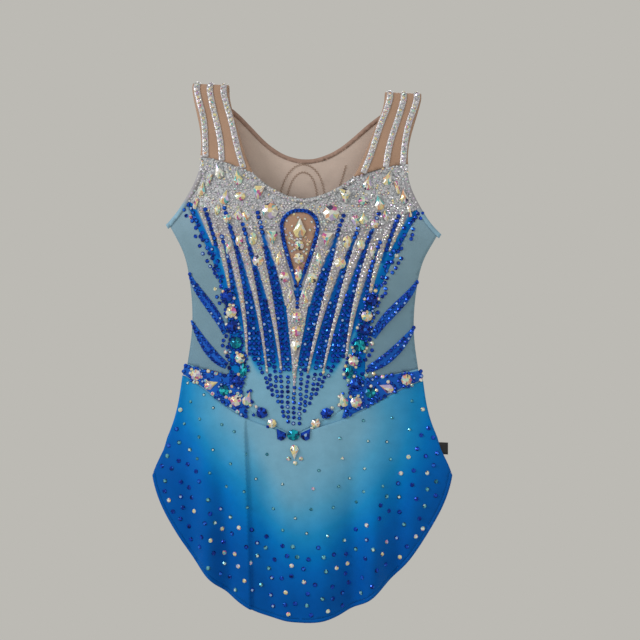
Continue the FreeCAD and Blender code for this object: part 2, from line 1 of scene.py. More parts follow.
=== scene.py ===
import functools
import math
import bpy
import numpy as np
from mathutils.geometry import delaunay_2d_cdt
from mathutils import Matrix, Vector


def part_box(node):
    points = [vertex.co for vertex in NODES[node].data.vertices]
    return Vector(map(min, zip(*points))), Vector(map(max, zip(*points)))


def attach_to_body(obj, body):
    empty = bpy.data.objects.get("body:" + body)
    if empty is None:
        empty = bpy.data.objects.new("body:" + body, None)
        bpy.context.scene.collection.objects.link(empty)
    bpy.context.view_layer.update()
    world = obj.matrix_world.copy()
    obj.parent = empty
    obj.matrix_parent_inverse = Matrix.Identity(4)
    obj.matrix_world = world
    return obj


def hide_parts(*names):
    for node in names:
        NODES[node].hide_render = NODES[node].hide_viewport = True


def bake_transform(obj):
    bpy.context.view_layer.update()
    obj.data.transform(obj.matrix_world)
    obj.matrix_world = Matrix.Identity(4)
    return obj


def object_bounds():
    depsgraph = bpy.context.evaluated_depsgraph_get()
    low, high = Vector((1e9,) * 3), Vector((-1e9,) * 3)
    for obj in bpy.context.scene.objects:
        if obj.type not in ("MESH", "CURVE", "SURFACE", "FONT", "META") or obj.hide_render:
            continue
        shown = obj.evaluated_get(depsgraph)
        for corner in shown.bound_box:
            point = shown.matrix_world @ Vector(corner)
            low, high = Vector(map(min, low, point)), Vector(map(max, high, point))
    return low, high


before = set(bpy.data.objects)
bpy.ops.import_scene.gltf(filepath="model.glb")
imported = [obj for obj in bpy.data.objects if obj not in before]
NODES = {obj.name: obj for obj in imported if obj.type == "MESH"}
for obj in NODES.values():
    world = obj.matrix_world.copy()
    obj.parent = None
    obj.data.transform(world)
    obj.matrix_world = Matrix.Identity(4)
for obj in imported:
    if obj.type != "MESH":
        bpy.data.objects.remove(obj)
CAD_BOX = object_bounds()

# Gymnastics leotard with an attached skirt, hanging empty. Metres, in the frame of the CAD part:
# origin at the hanger's seat, +Z up, front facing -Y. Left (-X) and right in names are the viewer's.

MM = 0.001
SIDES = (("left", -1), ("right", 1))
TORSO, FRONT_PANEL, BACK_PANEL = "torso", "skirt_front_panel", "skirt_back_panel"
rng = np.random.default_rng(7)

# ---------------------------------------------------------------- the hanging garment's shape

# Girth stations, as in the CAD part: level, half width, half depth (mm).
BODY_STATIONS = np.array([
    (12, 240, 8), (-30, 222, 9.5), (-80, 196, 12), (-130, 172, 16), (-163, 158, 19), (-195, 141, 18.5),
    (-225, 133.5, 18), (-258, 130, 17.5), (-295, 131, 18), (-330, 136, 19), (-385, 139, 19.5),
    (-440, 139, 18), (-500, 137, 15), (-556, 134, 12.6)]) * MM
SKIRT_STATIONS = np.array([
    (-328, 139.2, 20.8), (-368, 145.5, 21.4), (-411, 160, 21.8), (-450, 178, 22.5),
    (-510, 184, 21.5), (-570, 185, 19), (-624, 185, 17)]) * MM

# How the garment hangs askew (mm and slopes): level, shift along X, sideways sway of the middle, tilt.
HANG = np.array([(-620, 0, 0, 0), (-500, 0, -4, 0), (-400, 0, -10, 0), (-340, 0.5, -9.5, 0.022),
                 (-240, 1, -6, 0.03), (-157, 1.5, -4, 0.036), (-100, 3, -2, 0.04), (10, 6, 0, 0.045)])

SEAT_RADIUS = 7 * MM
SEAT_SPREAD = 1.6 * MM
STRAP_LENGTH = 103 * MM
CLOTH = 1.0 * MM
STRAP_TOP, STRAP_RADIUS = -SEAT_RADIUS, SEAT_RADIUS + CLOTH
STRAP_ARCH = math.pi * STRAP_RADIUS
STRAP_BACK_END = -25 * MM


def smooth(levels, values, at):
    """Cubic curve through a table, with tangents from its neighbours. Levels fall."""
    levels, values = levels[::-1], values[::-1]
    slopes = np.gradient(values, levels)
    at = np.clip(at, levels[0], levels[-1])
    i = np.clip(np.searchsorted(levels, at) - 1, 0, len(levels) - 2)
    span = levels[i + 1] - levels[i]
    t = (at - levels[i]) / span
    return ((2 * t ** 3 - 3 * t ** 2 + 1) * values[i] + (t ** 3 - 2 * t ** 2 + t) * span * slopes[i]
            + (3 * t ** 2 - 2 * t ** 3) * values[i + 1] + (t ** 3 - t ** 2) * span * slopes[i + 1])


def step(low, high, x):
    """Rises smoothly from 0 at low to 1 at high."""
    t = np.clip((x - low) / (high - low), 0, 1)
    return t * t * (3 - 2 * t)


def waves(u, v, size, seed):
    """Soft irregular waves between about -1 and 1, size metres long."""
    local = np.random.default_rng(seed)
    total = np.zeros_like(u)
    for _ in range(6):
        angle, phase, scale = local.uniform(0, math.pi), local.uniform(0, 6.28), local.uniform(0.7, 1.5)
        total += np.sin((u * math.cos(angle) + v * math.sin(angle)) * 6.28 / (size * scale) + phase)
    return total / 3


def lens(stations, u, v):
    """Half depth of the flattened garment at a place: a circular arc across its width."""
    half = smooth(stations[:, 0], stations[:, 1], v)
    depth = smooth(stations[:, 0], stations[:, 2], v)
    radius = (half ** 2 + depth ** 2) / (2 * depth)
    across = np.minimum(np.abs(u), half)
    return np.sqrt(radius ** 2 - across ** 2) - (radius - depth)


def hang(u, v):
    """Where a flat place hangs, seen from the front."""
    level = v / MM
    shift, sway, tilt = (np.interp(level, HANG[:, 0], HANG[:, k]) for k in (1, 2, 3))
    half = smooth(BODY_STATIONS[:, 0], BODY_STATIONS[:, 1], v)
    middle = 1 - np.minimum(1, (u / half) ** 2)
    return u + (shift + sway * middle) * MM, v - u * tilt


def body_shape(side):
    """The body's cloth: side 1 is the front, -1 the back."""
    def place(u, v):
        depth = lens(BODY_STATIONS, u, v)
        rim = depth / (depth + 4 * MM)
        depth = depth + rim * (0.9 * waves(u, v, 0.07, 11 + side) + 0.25 * waves(u, v, 0.018, 23 + side)) * MM
        x, z = hang(u, v)
        return np.stack([x, -side * depth, z], 1)
    return place


def skirt_shape(side):
    """The skirt: folds grow from the seam down, and the front has one narrow pleat."""
    def place(u, v):
        hug = 1 - step(-0.36, -0.44, v)
        depth = lens(SKIRT_STATIONS, u, v) * (1 - hug) + (lens(BODY_STATIONS, u, v) + 1.0 * MM) * hug
        drop = step(-0.36, -0.56, v)
        rim = step(0, 10 * MM, depth)
        folds = 0
        for centre, width, height, lean in SKIRT_FOLDS[side]:
            line = centre * MM + lean * (v + 0.4)
            folds = folds + height * MM * np.exp(-((u - line) / (width * MM)) ** 2)
        depth = depth + rim * drop * folds + rim * 0.5 * MM * waves(u, v, 0.05, 31 + side)
        if side > 0:
            depth = depth + pleat_height(u, v)
        x, z = hang(u, v)
        return np.stack([x, -side * depth, z], 1)
    return place


SKIRT_FOLDS = {
    1: [(-112, 15, 9, -0.02), (-88, 10, -6, 0), (-14, 14, 2.5, 0), (6, 12, 3, 0), (34, 15, 6, 0.05),
        (66, 12, -7, 0.04), (92, 14, 9, 0.06), (118, 12, -6, 0.08), (138, 11, 3, 0.1), (-138, 11, -4, -0.1)],
    -1: [(-90, 18, 5, -0.03), (-35, 15, -3, 0), (20, 18, 4.5, 0), (85, 16, -3.5, 0.04), (120, 14, 4, 0.05)],
}
PLEAT_TOP, PLEAT_LOW = (-56 * MM, -365 * MM), (-58 * MM, -606 * MM)


def pleat_line(v):
    share = np.clip((v - PLEAT_TOP[1]) / (PLEAT_LOW[1] - PLEAT_TOP[1]), 0, 1)
    return PLEAT_TOP[0] + share * (PLEAT_LOW[0] - PLEAT_TOP[0])


def pleat_height(u, v):
    """The cloth left of the pleat's edge lies over the cloth right of it."""
    along = step(PLEAT_TOP[1], PLEAT_TOP[1] - 0.06, v)
    aside = (u - pleat_line(v)) / MM
    return along * MM * (3.4 * np.exp(-((aside + 1.2) / 14) ** 2) * (aside < -1.2)
                         - 3.4 * aside / 1.2 * (aside >= -1.2) * (aside < 0)
                         - 2.6 * np.sin(np.clip(aside / 44, 0, 1) * math.pi) ** 2 * step(-0.43, -0.47, v))


def strap_shape(side):
    """A strap as a flat strip (x, s): s is the level in front, and runs on over the fold and down behind."""
    def place(u, s):
        front, behind = s < STRAP_TOP, s > STRAP_TOP + STRAP_ARCH
        angle = np.clip((s - STRAP_TOP) / STRAP_ARCH, 0, 1) * math.pi
        y = -STRAP_RADIUS * np.cos(angle)
        z = STRAP_TOP + STRAP_RADIUS * np.sin(angle)
        z = np.where(front, s, np.where(behind, STRAP_TOP - (s - STRAP_TOP - STRAP_ARCH), z))
        spread = SEAT_SPREAD * (STRAP_TOP - z) / STRAP_LENGTH
        y = np.where(front, -STRAP_RADIUS - spread, np.where(behind, STRAP_RADIUS + spread, y))
        join = step(-0.045, -0.085, z) * front
        y = y * (1 - join) - join * lens(BODY_STATIONS, u, z)
        join = step(-0.012, -0.025, z) * behind
        y = y * (1 - join) + join * lens(BODY_STATIONS, u, z)
        y = y + 0.5 * MM * waves(u, s, 0.05, 41 + side) * (np.abs(z) > 0.02)
        x, z = hang(u, z)
        return np.stack([x, y, z], 1)
    return place


class Surface:
    """Cloth to lay things on: flat places (u, v) in metres to points and outward directions."""

    def __init__(self, shape, outward=1):
        self.shape, self.outward = shape, outward

    def at(self, flat, lift):
        """Points a lift above the cloth, the direction of growing u there, and the outward one."""
        u, v = np.asarray(flat, float).reshape(-1, 2).T
        d = 0.4 * MM
        across = self.shape(u + d, v) - self.shape(u - d, v)
        along = self.shape(u, v + d) - self.shape(u, v - d)
        normal = np.cross(across, along) * self.outward
        normal /= np.linalg.norm(normal, axis=1)[:, None]
        across /= np.linalg.norm(across, axis=1)[:, None]
        return self.shape(u, v) + normal * lift, across, normal


FRONT = Surface(body_shape(1))
BACK = Surface(body_shape(-1), -1)
SKIRT_FRONT = Surface(skirt_shape(1))
SKIRT_BACK = Surface(skirt_shape(-1), -1)
STRAPS = {side: Surface(strap_shape(sign)) for side, sign in SIDES}

# ---------------------------------------------------------------- outlines from the CAD part

LEAST_LEG = 0.7 * MM


def outlines(node, side=1):
    """Closed outlines (x, z) of a node's outward faces, on the front (side 1) or the back (-1)."""
    mesh = NODES[node].data
    keys, places, links = {}, [], {}
    for face in mesh.polygons:
        if face.normal.y * side > -0.3 or face.center.y * side > 0:
            continue
        ring = []
        for index in face.vertices:
            x, y, z = mesh.vertices[index].co
            key = (round(x, 6), round(y, 6), round(z, 6))
            if key not in keys:
                keys[key] = len(places)
                places.append((x, z))
            ring.append(keys[key])
        for a, b in zip(ring, ring[1:] + ring[:1]):
            if b in links.get(a, ()) or a == b:
                continue
            if a in links.get(b, ()):
                links[b].remove(a)
            else:
                links.setdefault(a, []).append(b)
    loops = []
    while any(links.values()):
        start = next(a for a, ends in links.items() if ends)
        loop, here = [], start
        while links.get(here):
            loop.append(here)
            here = links[here].pop()
            if here == start:
                break
        if len(loop) > 3:
            loops.append(thinned(np.array([places[i] for i in loop])))
    return loops


def thinned(loop):
    """A loop without points that crowd each other, turned anticlockwise."""
    kept = [loop[0]]
    for point in loop[1:]:
        if np.hypot(*(point - kept[-1])) > LEAST_LEG:
            kept.append(point)
    kept = np.array(kept)
    x, z = kept.T
    turn = np.sum(x * np.roll(z, -1) - np.roll(x, -1) * z)
    return kept if turn > 0 else kept[::-1]


def dense(loop, gap=2.5 * MM):
    """The same loop with no leg longer than a gap."""
    out = []
    for a, b in zip(loop, np.roll(loop, -1, 0)):
        n = max(1, int(math.ceil(np.hypot(*(b - a)) / gap)))
        out += [a + (b - a) * k / n for k in range(n)]
    return np.array(out)


def inside(flat, loops):
    """Which places lie within the loops, counting a loop in a loop as a hole."""
    u, v = np.asarray(flat, float).T
    odd = np.zeros(len(u), bool)
    for loop in loops:
        for (ax, az), (bx, bz) in zip(loop, np.roll(loop, -1, 0)):
            if az == bz:
                continue
            crosses = (az > v) != (bz > v)
            odd ^= crosses & (u < (bx - ax) * (v - az) / (bz - az) + ax)
    return odd


def edge_distance(flat, loops):
    """Distance of each place from the nearest outline."""
    flat = np.asarray(flat, float)
    best = np.full(len(flat), 1.0)
    for loop in loops:
        for a, b in zip(loop, np.roll(loop, -1, 0)):
            leg = b - a
            share = np.clip(((flat - a) @ leg) / max(leg @ leg, 1e-12), 0, 1)
            best = np.minimum(best, np.linalg.norm(flat - a - share[:, None] * leg, axis=1))
    return best


# ---------------------------------------------------------------- building pieces

def new_mesh(name, verts, faces, materials, face_slots=None, smoothed=True):
    mesh = bpy.data.meshes.new(name)
    mesh.from_pydata([tuple(p) for p in verts], [], faces)
    for material in materials:
        mesh.materials.append(material)
    if face_slots is not None:
        mesh.polygons.foreach_set("material_index", np.asarray(face_slots, np.int32))
    mesh.polygons.foreach_set("use_smooth", np.full(len(mesh.polygons), smoothed))
    mesh.update()
    obj = bpy.data.objects.new(name, mesh)
    bpy.context.scene.collection.objects.link(obj)
    return obj


def cloth(name, loops, surface, material, lift=0.0, thickness=0.8 * MM, pitch=4 * MM, dye=None, lines=()):
    """A closed piece of cloth: its outlines filled with triangles, laid on a surface, with a thickness."""
    rims = [dense(loop) for loop in loops]
    flat, edges = [], []
    for rim in rims:
        first = len(flat)
        flat += list(rim)
        edges += [(first + i, first + (i + 1) % len(rim)) for i in range(len(rim))]
    low, high = np.min([r.min(0) for r in rims], 0), np.max([r.max(0) for r in rims], 0)
    rows = np.arange(low[1], high[1], pitch * 0.87)
    grid = np.array([(u + (i % 2) * pitch / 2, v) for i, v in enumerate(rows)
                     for u in np.arange(low[0], high[0], pitch)])
    grid = grid[inside(grid, rims)]
    if len(grid):
        grid = grid[edge_distance(grid, rims) > pitch * 0.45]
    for line in lines:
        gap = np.min(np.linalg.norm(grid[:, None] - line[None], axis=2), axis=1)
        grid = grid[gap > pitch * 0.4]
    inner = list(grid) + [p for line in lines for p in line]
    points, _, faces, *_ = delaunay_2d_cdt([tuple(p) for p in flat + inner], edges, [], 0, 1e-7)
    points = np.array([tuple(p) for p in points])
    faces = np.array([f for f in faces if len(f) == 3])
    faces = faces[inside(points[faces].mean(1), rims)]
    used = np.unique(faces)
    renumber = np.zeros(len(points), int)
    renumber[used] = np.arange(len(used))
    points, faces = points[used], renumber[faces]
    obj = slab(name, points, faces, surface, material, lift, thickness)
    if dye is not None:
        paint(obj, dye(np.vstack([points, points])))
    obj["flat_area"] = float(abs(sum(loop_area(rim) for rim in rims)))
    obj["flat_box"] = [float(s) for s in high - low]
    return obj


def loop_area(loop):
    x, z = np.asarray(loop).T
    return np.sum(x * np.roll(z, -1) - np.roll(x, -1) * z) / 2


def slab(name, points, faces, surface, material, lift, thickness):
    """A filled outline laid on a surface, its copy underneath and the walls round its rim."""
    top, _, _ = surface.at(points, lift)
    low, _, _ = surface.at(points, lift - thickness)
    a, b, c = points[faces[:, 0]], points[faces[:, 1]], points[faces[:, 2]]
    turned = np.cross(b - a, c - a) * surface.outward < 0
    faces[turned] = faces[turned][:, ::-1]
    count = len(points)
    sides = {}
    for face in faces:
        for p, q in ((face[0], face[1]), (face[1], face[2]), (face[2], face[0])):
            if (q, p) in sides:
                del sides[(q, p)]
            else:
                sides[(p, q)] = True
    polys = [tuple(int(i) for i in f) for f in faces]
    polys += [tuple(int(i) + count for i in f[::-1]) for f in faces]
    polys += [(int(q), int(p), int(p) + count, int(q) + count) for p, q in sides]
    obj = new_mesh(name, np.vstack([top, low]), polys, [material])
    flat = obj.data.attributes.new("flat", "FLOAT_VECTOR", "POINT")
    places = np.column_stack([np.vstack([points, points]), np.zeros(2 * count)])
    flat.data.foreach_set("vector", places.ravel())
    return obj


def paint(obj, colours):
    layer = obj.data.color_attributes.new("dye", "FLOAT_COLOR", "POINT")
    layer.data.foreach_set("color", np.column_stack([colours, np.ones(len(colours))]).ravel())


def attach(obj, slot, body, *replaced):
    """A piece rides on the body, or else stays where it was built, and may stand for CAD nodes, which it
    hides.
    """
    if body == TORSO:
        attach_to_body(obj, TORSO)
    else:
        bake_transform(obj)
    if replaced:
        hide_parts(*replaced)
    return obj


def declare(obj):
    """Hands the piece back unchanged."""
    return obj


# ---------------------------------------------------------------- materials

def linear(red, green, blue):
    """An 8-bit screen colour as linear light."""
    values = np.array([red, green, blue]) / 255
    return np.where(values < 0.04045, values / 12.92, ((values + 0.055) / 1.055) ** 2.4)


class Shader:
    """A Principled material; keyword values go straight on its sockets."""

    def __init__(self, name, colour, **sockets):
        self.material = bpy.data.materials.new(name)
        self.material.use_nodes = True
        self.tree = self.material.node_tree
        self.main = self.tree.nodes["Principled BSDF"]
        self.main.inputs["Base Color"].default_value = (*colour, 1)
        for key, value in sockets.items():
            self.main.inputs[key.replace("_", " ")].default_value = value

    def add(self, kind, settings=None, **inputs):
        node = self.tree.nodes.new("ShaderNode" + kind)
        for key, value in (settings or {}).items():
            setattr(node, key, value)
        for key, value in inputs.items():
            key = int(key[1:]) if key[0] == "i" and key[1:].isdigit() else key.replace("_", " ")
            if isinstance(value, bpy.types.NodeSocket):
                self.tree.links.new(value, node.inputs[key])
            else:
                node.inputs[key].default_value = value
        return node

    def flat(self):
        return self.add("Attribute", {"attribute_name": "flat"}).outputs["Vector"]

    def noise(self, scale, detail):
        return self.add("TexNoise", Vector=self.flat(), Scale=scale, Detail=detail).outputs["Fac"]

    def math(self, operation, a, b=0.0):
        return self.add("Math", {"operation": operation}, i0=a, i1=b).outputs[0]

    def dye(self):
        return self.add("Attribute", {"attribute_name": "dye"}).outputs["Color"]

    def bump(self, height, strength, distance):
        node = self.add("Bump", Height=height, Strength=strength, Distance=distance)
        self.tree.links.new(node.outputs["Normal"], self.main.inputs["Normal"])

    def colour(self, colour, shade):
        """A colour or a dye, made lighter and darker by a shade."""
        scaled = self.add("VectorMath", {"operation": "SCALE"}, i0=colour, i3=shade)
        self.tree.links.new(scaled.outputs[0], self.main.inputs["Base Color"])

    def rough(self, socket):
        self.tree.links.new(socket, self.main.inputs["Roughness"])


def knit(shader, colour, wale=0.9 * MM, strength=0.25):
    """Stretch knit: fine wales and courses, slightly uneven dye, threads that catch the light, with a painted
    highlight on their raised parts and painted shade in the hollows.
    """
    turns = 2 * math.pi / wale
    parts = shader.add("SeparateXYZ", Vector=shader.flat())
    wales = shader.math("SINE", shader.math("MULTIPLY", parts.outputs[0], turns))
    courses = shader.math("SINE", shader.math("MULTIPLY", parts.outputs[1], turns * 0.8))
    height = shader.math("MULTIPLY", wales, courses)
    patch = shader.noise(90, 4)
    shade = shader.math("ADD", shader.math("MULTIPLY", patch, 0.24), 0.88)
    # Painted light: the knit's raised threads are up to 5% lighter and its hollows darker.
    shader.colour(colour, shader.math("ADD", shade, shader.math("MULTIPLY", height, 0.05)))
    shader.bump(height, strength, 0.12 * MM)
    shader.rough(shader.math("ADD", shader.math("MULTIPLY", patch, 0.16), 0.4))


def dyed_lycra(name, sheen=0.35):
    shader = Shader(name, (0.1, 0.3, 0.6), Sheen_Weight=sheen, Sheen_Roughness=0.4, Specular_IOR_Level=0.06,
                    Sheen_Tint=(0.05, 0.5, 1, 1))
    knit(shader, shader.dye())
    return shader.material


def plain_knit(name, colour, **values):
    shader = Shader(name, colour, Sheen_Weight=0.1, Sheen_Roughness=0.5, Specular_IOR_Level=0.15)
    knit(shader, colour, **values)
    return shader.material


def sheer_mesh(name, alpha):
    """Fine stretch net: small cells, darker towards the middle of each."""
    shader = Shader(name, (0.5, 0.4, 0.3), Alpha=alpha, Sheen_Weight=0.2, Sheen_Roughness=0.4, IOR=1.4,
                    Roughness=0.55)
    cells = shader.add("TexVoronoi", Vector=shader.flat(), Scale=1 / (0.95 * MM), Randomness=0.25)
    thread = shader.math("MULTIPLY", cells.outputs["Distance"], 0.5)
    shade = shader.math("ADD", thread, 0.78)
    patch = shader.math("MULTIPLY", shader.noise(60, 3), 0.16)
    shader.colour(shader.dye(), shader.math("ADD", shade, patch))
    shader.bump(cells.outputs["Distance"], 0.3, 0.15 * MM)
    return shader.material


def silver_foil(name, dark=(0.25, 0.265, 0.29), light=(0.8, 0.83, 0.88)):
    """Foil-printed cloth under the crystals: small bright and dark grains."""
    shader = Shader(name, (0.6, 0.6, 0.6), Metallic=0.4, Roughness=0.35)
    grains = shader.add("TexVoronoi", Vector=shader.flat(), Scale=1 / (1.6 * MM), Randomness=1.0)
    ramp = shader.add("ValToRGB", Fac=shader.add("SeparateColor", Color=grains.outputs["Color"]).outputs[0])
    stops = ramp.color_ramp.elements
    stops[0].color = (*dark, 1)
    stops[1].color = (*light, 1)
    shader.tree.links.new(ramp.outputs["Color"], shader.main.inputs["Base Color"])
    shader.bump(grains.outputs["Distance"], 0.6, 0.4 * MM)
    return shader.material


def satin(name, colour):
    """Ribbon or thread: fine ribs that shine."""
    shader = Shader(name, colour, Sheen_Weight=0.1)
    parts = shader.add("SeparateXYZ", Vector=shader.add("TexCoord").outputs["Object"])
    ribs = shader.math("SINE", shader.math("MULTIPLY", parts.outputs[0], 2 * math.pi / (0.5 * MM)))
    shader.rough(shader.math("ADD", shader.math("MULTIPLY", ribs, 0.08), 0.4))
    shader.bump(ribs, 0.3, 0.1 * MM)
    return shader.material


def facets(name, colours, metallic=0.6, rough=0.14):
    """A foiled stone's facets: one colour each, a painted reflection of what that facet shows, a little
    cloudy.
    """
    materials = []
    for i, colour in enumerate(colours):
        shader = Shader(f"{name}_{i}", colour, Metallic=metallic)
        place = shader.add("TexCoord").outputs["Object"]
        cloud = shader.add("TexNoise", Vector=place, Scale=400, Detail=1).outputs["Fac"]
        shader.colour(colour, shader.math("ADD", shader.math("MULTIPLY", cloud, 0.5), 0.75))
        shader.rough(shader.math("MULTIPLY", cloud, 2 * rough))
        materials.append(shader.material)
    return materials


# Painted reflections for each kind of stone: its facet colours, then the odds of each colour on the girdle,
# the crown and the table. The brightest ones are painted highlights and glints; the dark ones stand for
# facets that reflect something dark.
STONES = {
    "crystal": (facets("crystal", [(0.97, 0.97, 0.99), (0.66, 0.65, 0.72), (0.36, 0.34, 0.39),
                                   (0.13, 0.12, 0.15), (0.95, 0.86, 0.72), (0.78, 0.64, 0.9),
                                   (0.62, 0.84, 0.86)]),
                (0, 0.3, 0.45, 0.25, 0, 0, 0), (0.34, 0.26, 0.1, 0.04, 0.04, 0.16, 0.06),
                (0.6, 0.16, 0.02, 0, 0.03, 0.13, 0.06)),
    "rainbow": (facets("rainbow", [(0.95, 0.94, 0.86), (0.93, 0.8, 0.4), (0.9, 0.5, 0.3), (0.7, 0.16, 0.42),
                                   (0.2, 0.6, 0.62), (0.55, 0.82, 0.66), (0.08, 0.08, 0.16),
                                   (0.66, 0.56, 0.86), (0.5, 0.47, 0.46)], 0.35, 0.2),
                (0.1, 0.1, 0.05, 0.05, 0.05, 0.05, 0.25, 0.1, 0.25),
                (0.26, 0.23, 0.07, 0.08, 0.08, 0.1, 0.05, 0.08, 0.05),
                (0.4, 0.3, 0.04, 0.04, 0.04, 0.1, 0, 0.08, 0)),
    "sapphire": (facets("sapphire", [(0.003, 0.03, 0.3), (0.006, 0.075, 0.62), (0.02, 0.2, 0.95),
                                     (0.001, 0.008, 0.1), (0.4, 0.62, 1)]),
                 (0.4, 0.05, 0, 0.55, 0), (0.36, 0.4, 0.08, 0.16, 0), (0.25, 0.45, 0.2, 0.02, 0.08)),
    "teal": (facets("teal", [(0.0, 0.16, 0.28), (0.0, 0.42, 0.54), (0.04, 0.74, 0.84), (0.0, 0.04, 0.12)]),
             (0.5, 0.1, 0, 0.4), (0.3, 0.35, 0.15, 0.2), (0.2, 0.4, 0.4, 0)),
    "aqua": (facets("aqua", [(0.04, 0.26, 0.36), (0.2, 0.58, 0.68), (0.01, 0.08, 0.14), (0.75, 0.93, 0.95)]),
             (0.3, 0, 0.7, 0), (0.45, 0.2, 0.32, 0.03), (0.1, 0.62, 0, 0.28)),
}

# ---------------------------------------------------------------- stones

CORNERS = 8
SMALL_TURNS = np.arange(CORNERS) * math.pi / 4


def small_stones(name, places, surface, palette):
    """Flat-back stones: base, low wall, facets and table, a little askew. places is (u, v, radius, lift)."""
    places = np.array(places)
    centre, across, normal = surface.at(places[:, :2], places[:, 3:])
    along = np.cross(normal, across)
    verts, faces = [], []
    spin = rng.uniform(0, math.pi / 4, len(places))
    tilt = rng.normal(0, 0.05, (len(places), 2))
    for scale, rise in ((1.0, 0.0), (1.0, 0.14), (0.56, 0.52)):
        angle = spin[:, None] + SMALL_TURNS
        x, y = np.cos(angle) * scale, np.sin(angle) * scale
        height = rise + (x * tilt[:, :1] + y * tilt[:, 1:]) * (rise > 0)
        local = sum(part[..., None] * axis[:, None]
                    for part, axis in ((x, across), (y, along), (height, normal)))
        verts.append(centre[:, None] + local * places[:, 2, None, None])
    verts = np.stack(verts, 1).reshape(-1, 3)
    ring = range(CORNERS)
    pattern = [tuple(ring[::-1])]
    for low in (0, CORNERS):
        pattern += [tuple(low + k for k in (i, (i + 1) % CORNERS, CORNERS + (i + 1) % CORNERS, CORNERS + i))
                    for i in ring]
    pattern += [tuple(2 * CORNERS + i for i in ring)]
    for k in range(len(places)):
        faces += [tuple(3 * CORNERS * k + i for i in face) for face in pattern]
    materials, girdle, crown, table = STONES[palette]
    # Painted reflections: each face's colour is drawn by the odds for girdle, crown and table, so the girdle
    # comes out darker and the table brighter.
    slots = np.hstack([rng.choice(len(materials), (len(places), count), p=odds)
                       for count, odds in ((1 + CORNERS, girdle), (CORNERS, crown), (1, table))])
    return new_mesh(name, verts, faces, materials, slots.ravel(), smoothed=False)


# How much wider the cut stones are drawn than their CAD solids, which keep clear of their neighbours.
SPREAD = {"stones_rounds": 1.12, "stones_drops": 1.2, "stones_navettes": 1.15, "stones_fancies": 1.18,
          "stones_kites": 1.15, "stones_ovals": 1.15, "stones_keyhole": 1.15, "stones_teals": 1.15,
          "stones_sapphires": 1.1}


def cad_stones(node):
    """Each stone of a CAD group: the middle of its base (x, z) and the cut stone's outline round it."""
    mesh = NODES[node].data
    parent = list(range(len(mesh.vertices)))
    merged = {}

    def root(i):
        while parent[i] != i:
            parent[i] = parent[parent[i]]
            i = parent[i]
        return i

    for i, vertex in enumerate(mesh.vertices):
        key = tuple(round(c, 6) for c in vertex.co)
        parent[root(i)] = root(merged.setdefault(key, i))
    for face in mesh.polygons:
        for i in face.vertices[1:]:
            parent[root(i)] = root(face.vertices[0])
    stones = {}
    for i, vertex in enumerate(mesh.vertices):
        stones.setdefault(root(i), set()).add((vertex.co.x, vertex.co.z))
    found = []
    for points in stones.values():
        outline = hull(sorted(points))
        middle = (outline.max(0) + outline.min(0)) / 2
        found.append((middle, (outline - middle) * SPREAD.get(node, 1)))
    return sorted(found, key=lambda s: tuple(s[0]))


def hull(points):
    """Convex outline of some places, anticlockwise."""
    def half(run):
        out = []
        for p in run:
            while len(out) > 1 and ((out[-1][0] - out[-2][0]) * (p[1] - out[-2][1])
                                    - (out[-1][1] - out[-2][1]) * (p[0] - out[-2][0])) <= 1e-10:
                out.pop()
            out.append(p)
        return out[:-1]
    return np.array(half(points) + half(points[::-1]))


def rounded(outline, share):
    """Corners cut off, so that an outline gets twice its points."""
    after = np.roll(outline, -1, 0)
    return np.stack([outline * (1 - share) + after * share, outline * share + after * (1 - share)],
                    1).reshape(-1, 2)


def large_stones(name, stones, surface, lift, palette):
    """Sewn-on stones: a girdle, then kites and triangles that rise to a small table, each painted in a
    reflection colour of its own.
    """
    verts, faces, slots = [], [], []
    materials, side_odds, crown_odds, table_odds = STONES[palette]
    for middle, girdle in stones:
        if len(girdle) < CORNERS:
            girdle = rounded(girdle, 0.12 if len(girdle) <= 4 else 0.25)
        count = len(girdle)
        width = min(girdle.max(0) - girdle.min(0))
        rise = 0.26 * width + 0.4 * MM
        halfway = (girdle + np.roll(girdle, -1, 0)) / 2
        centre, across, normal = surface.at([middle], lift)
        along = np.cross(normal, across)
        first = len(verts)
        for ring, scale, level in ((girdle, 0.96, 0), (girdle, 1, 0.25), (halfway, 0.72, 0.7),
                                   (girdle, 0.3, 1)):
            flat = ring * scale
            verts += list(centre + flat[:, :1] * across + flat[:, 1:] * along + normal * level * rise)
        low, rim, mid, top = (first + n * count for n in range(4))
        wall, crown = [], []
        for i in range(count):
            j, k = (i + 1) % count, (i - 1) % count
            wall += [(low + i, low + j, rim + j, rim + i)]
            crown += [(rim + i, rim + j, mid + i), (rim + i, mid + i, top + i, mid + k),
                      (top + i, mid + i, top + j)]
        faces += [tuple(low + i for i in range(count))[::-1]] + wall + crown
        faces += [tuple(top + i for i in range(count))]
        # Painted reflections: the crown in sectors of three facets of one colour, some astray, with the
        # girdle and the table drawn by their own odds.
        sectors = np.repeat(rng.choice(len(materials), count, p=crown_odds), 3)
        stray = rng.random(3 * count) < 0.3
        sectors[stray] = rng.choice(len(materials), stray.sum(), p=crown_odds)
        slots += list(rng.choice(len(materials), 1 + count, p=side_odds)) + list(sectors)
        slots += [rng.choice(len(materials), p=table_odds)]
    return new_mesh(name, verts, faces, materials, slots, smoothed=False)


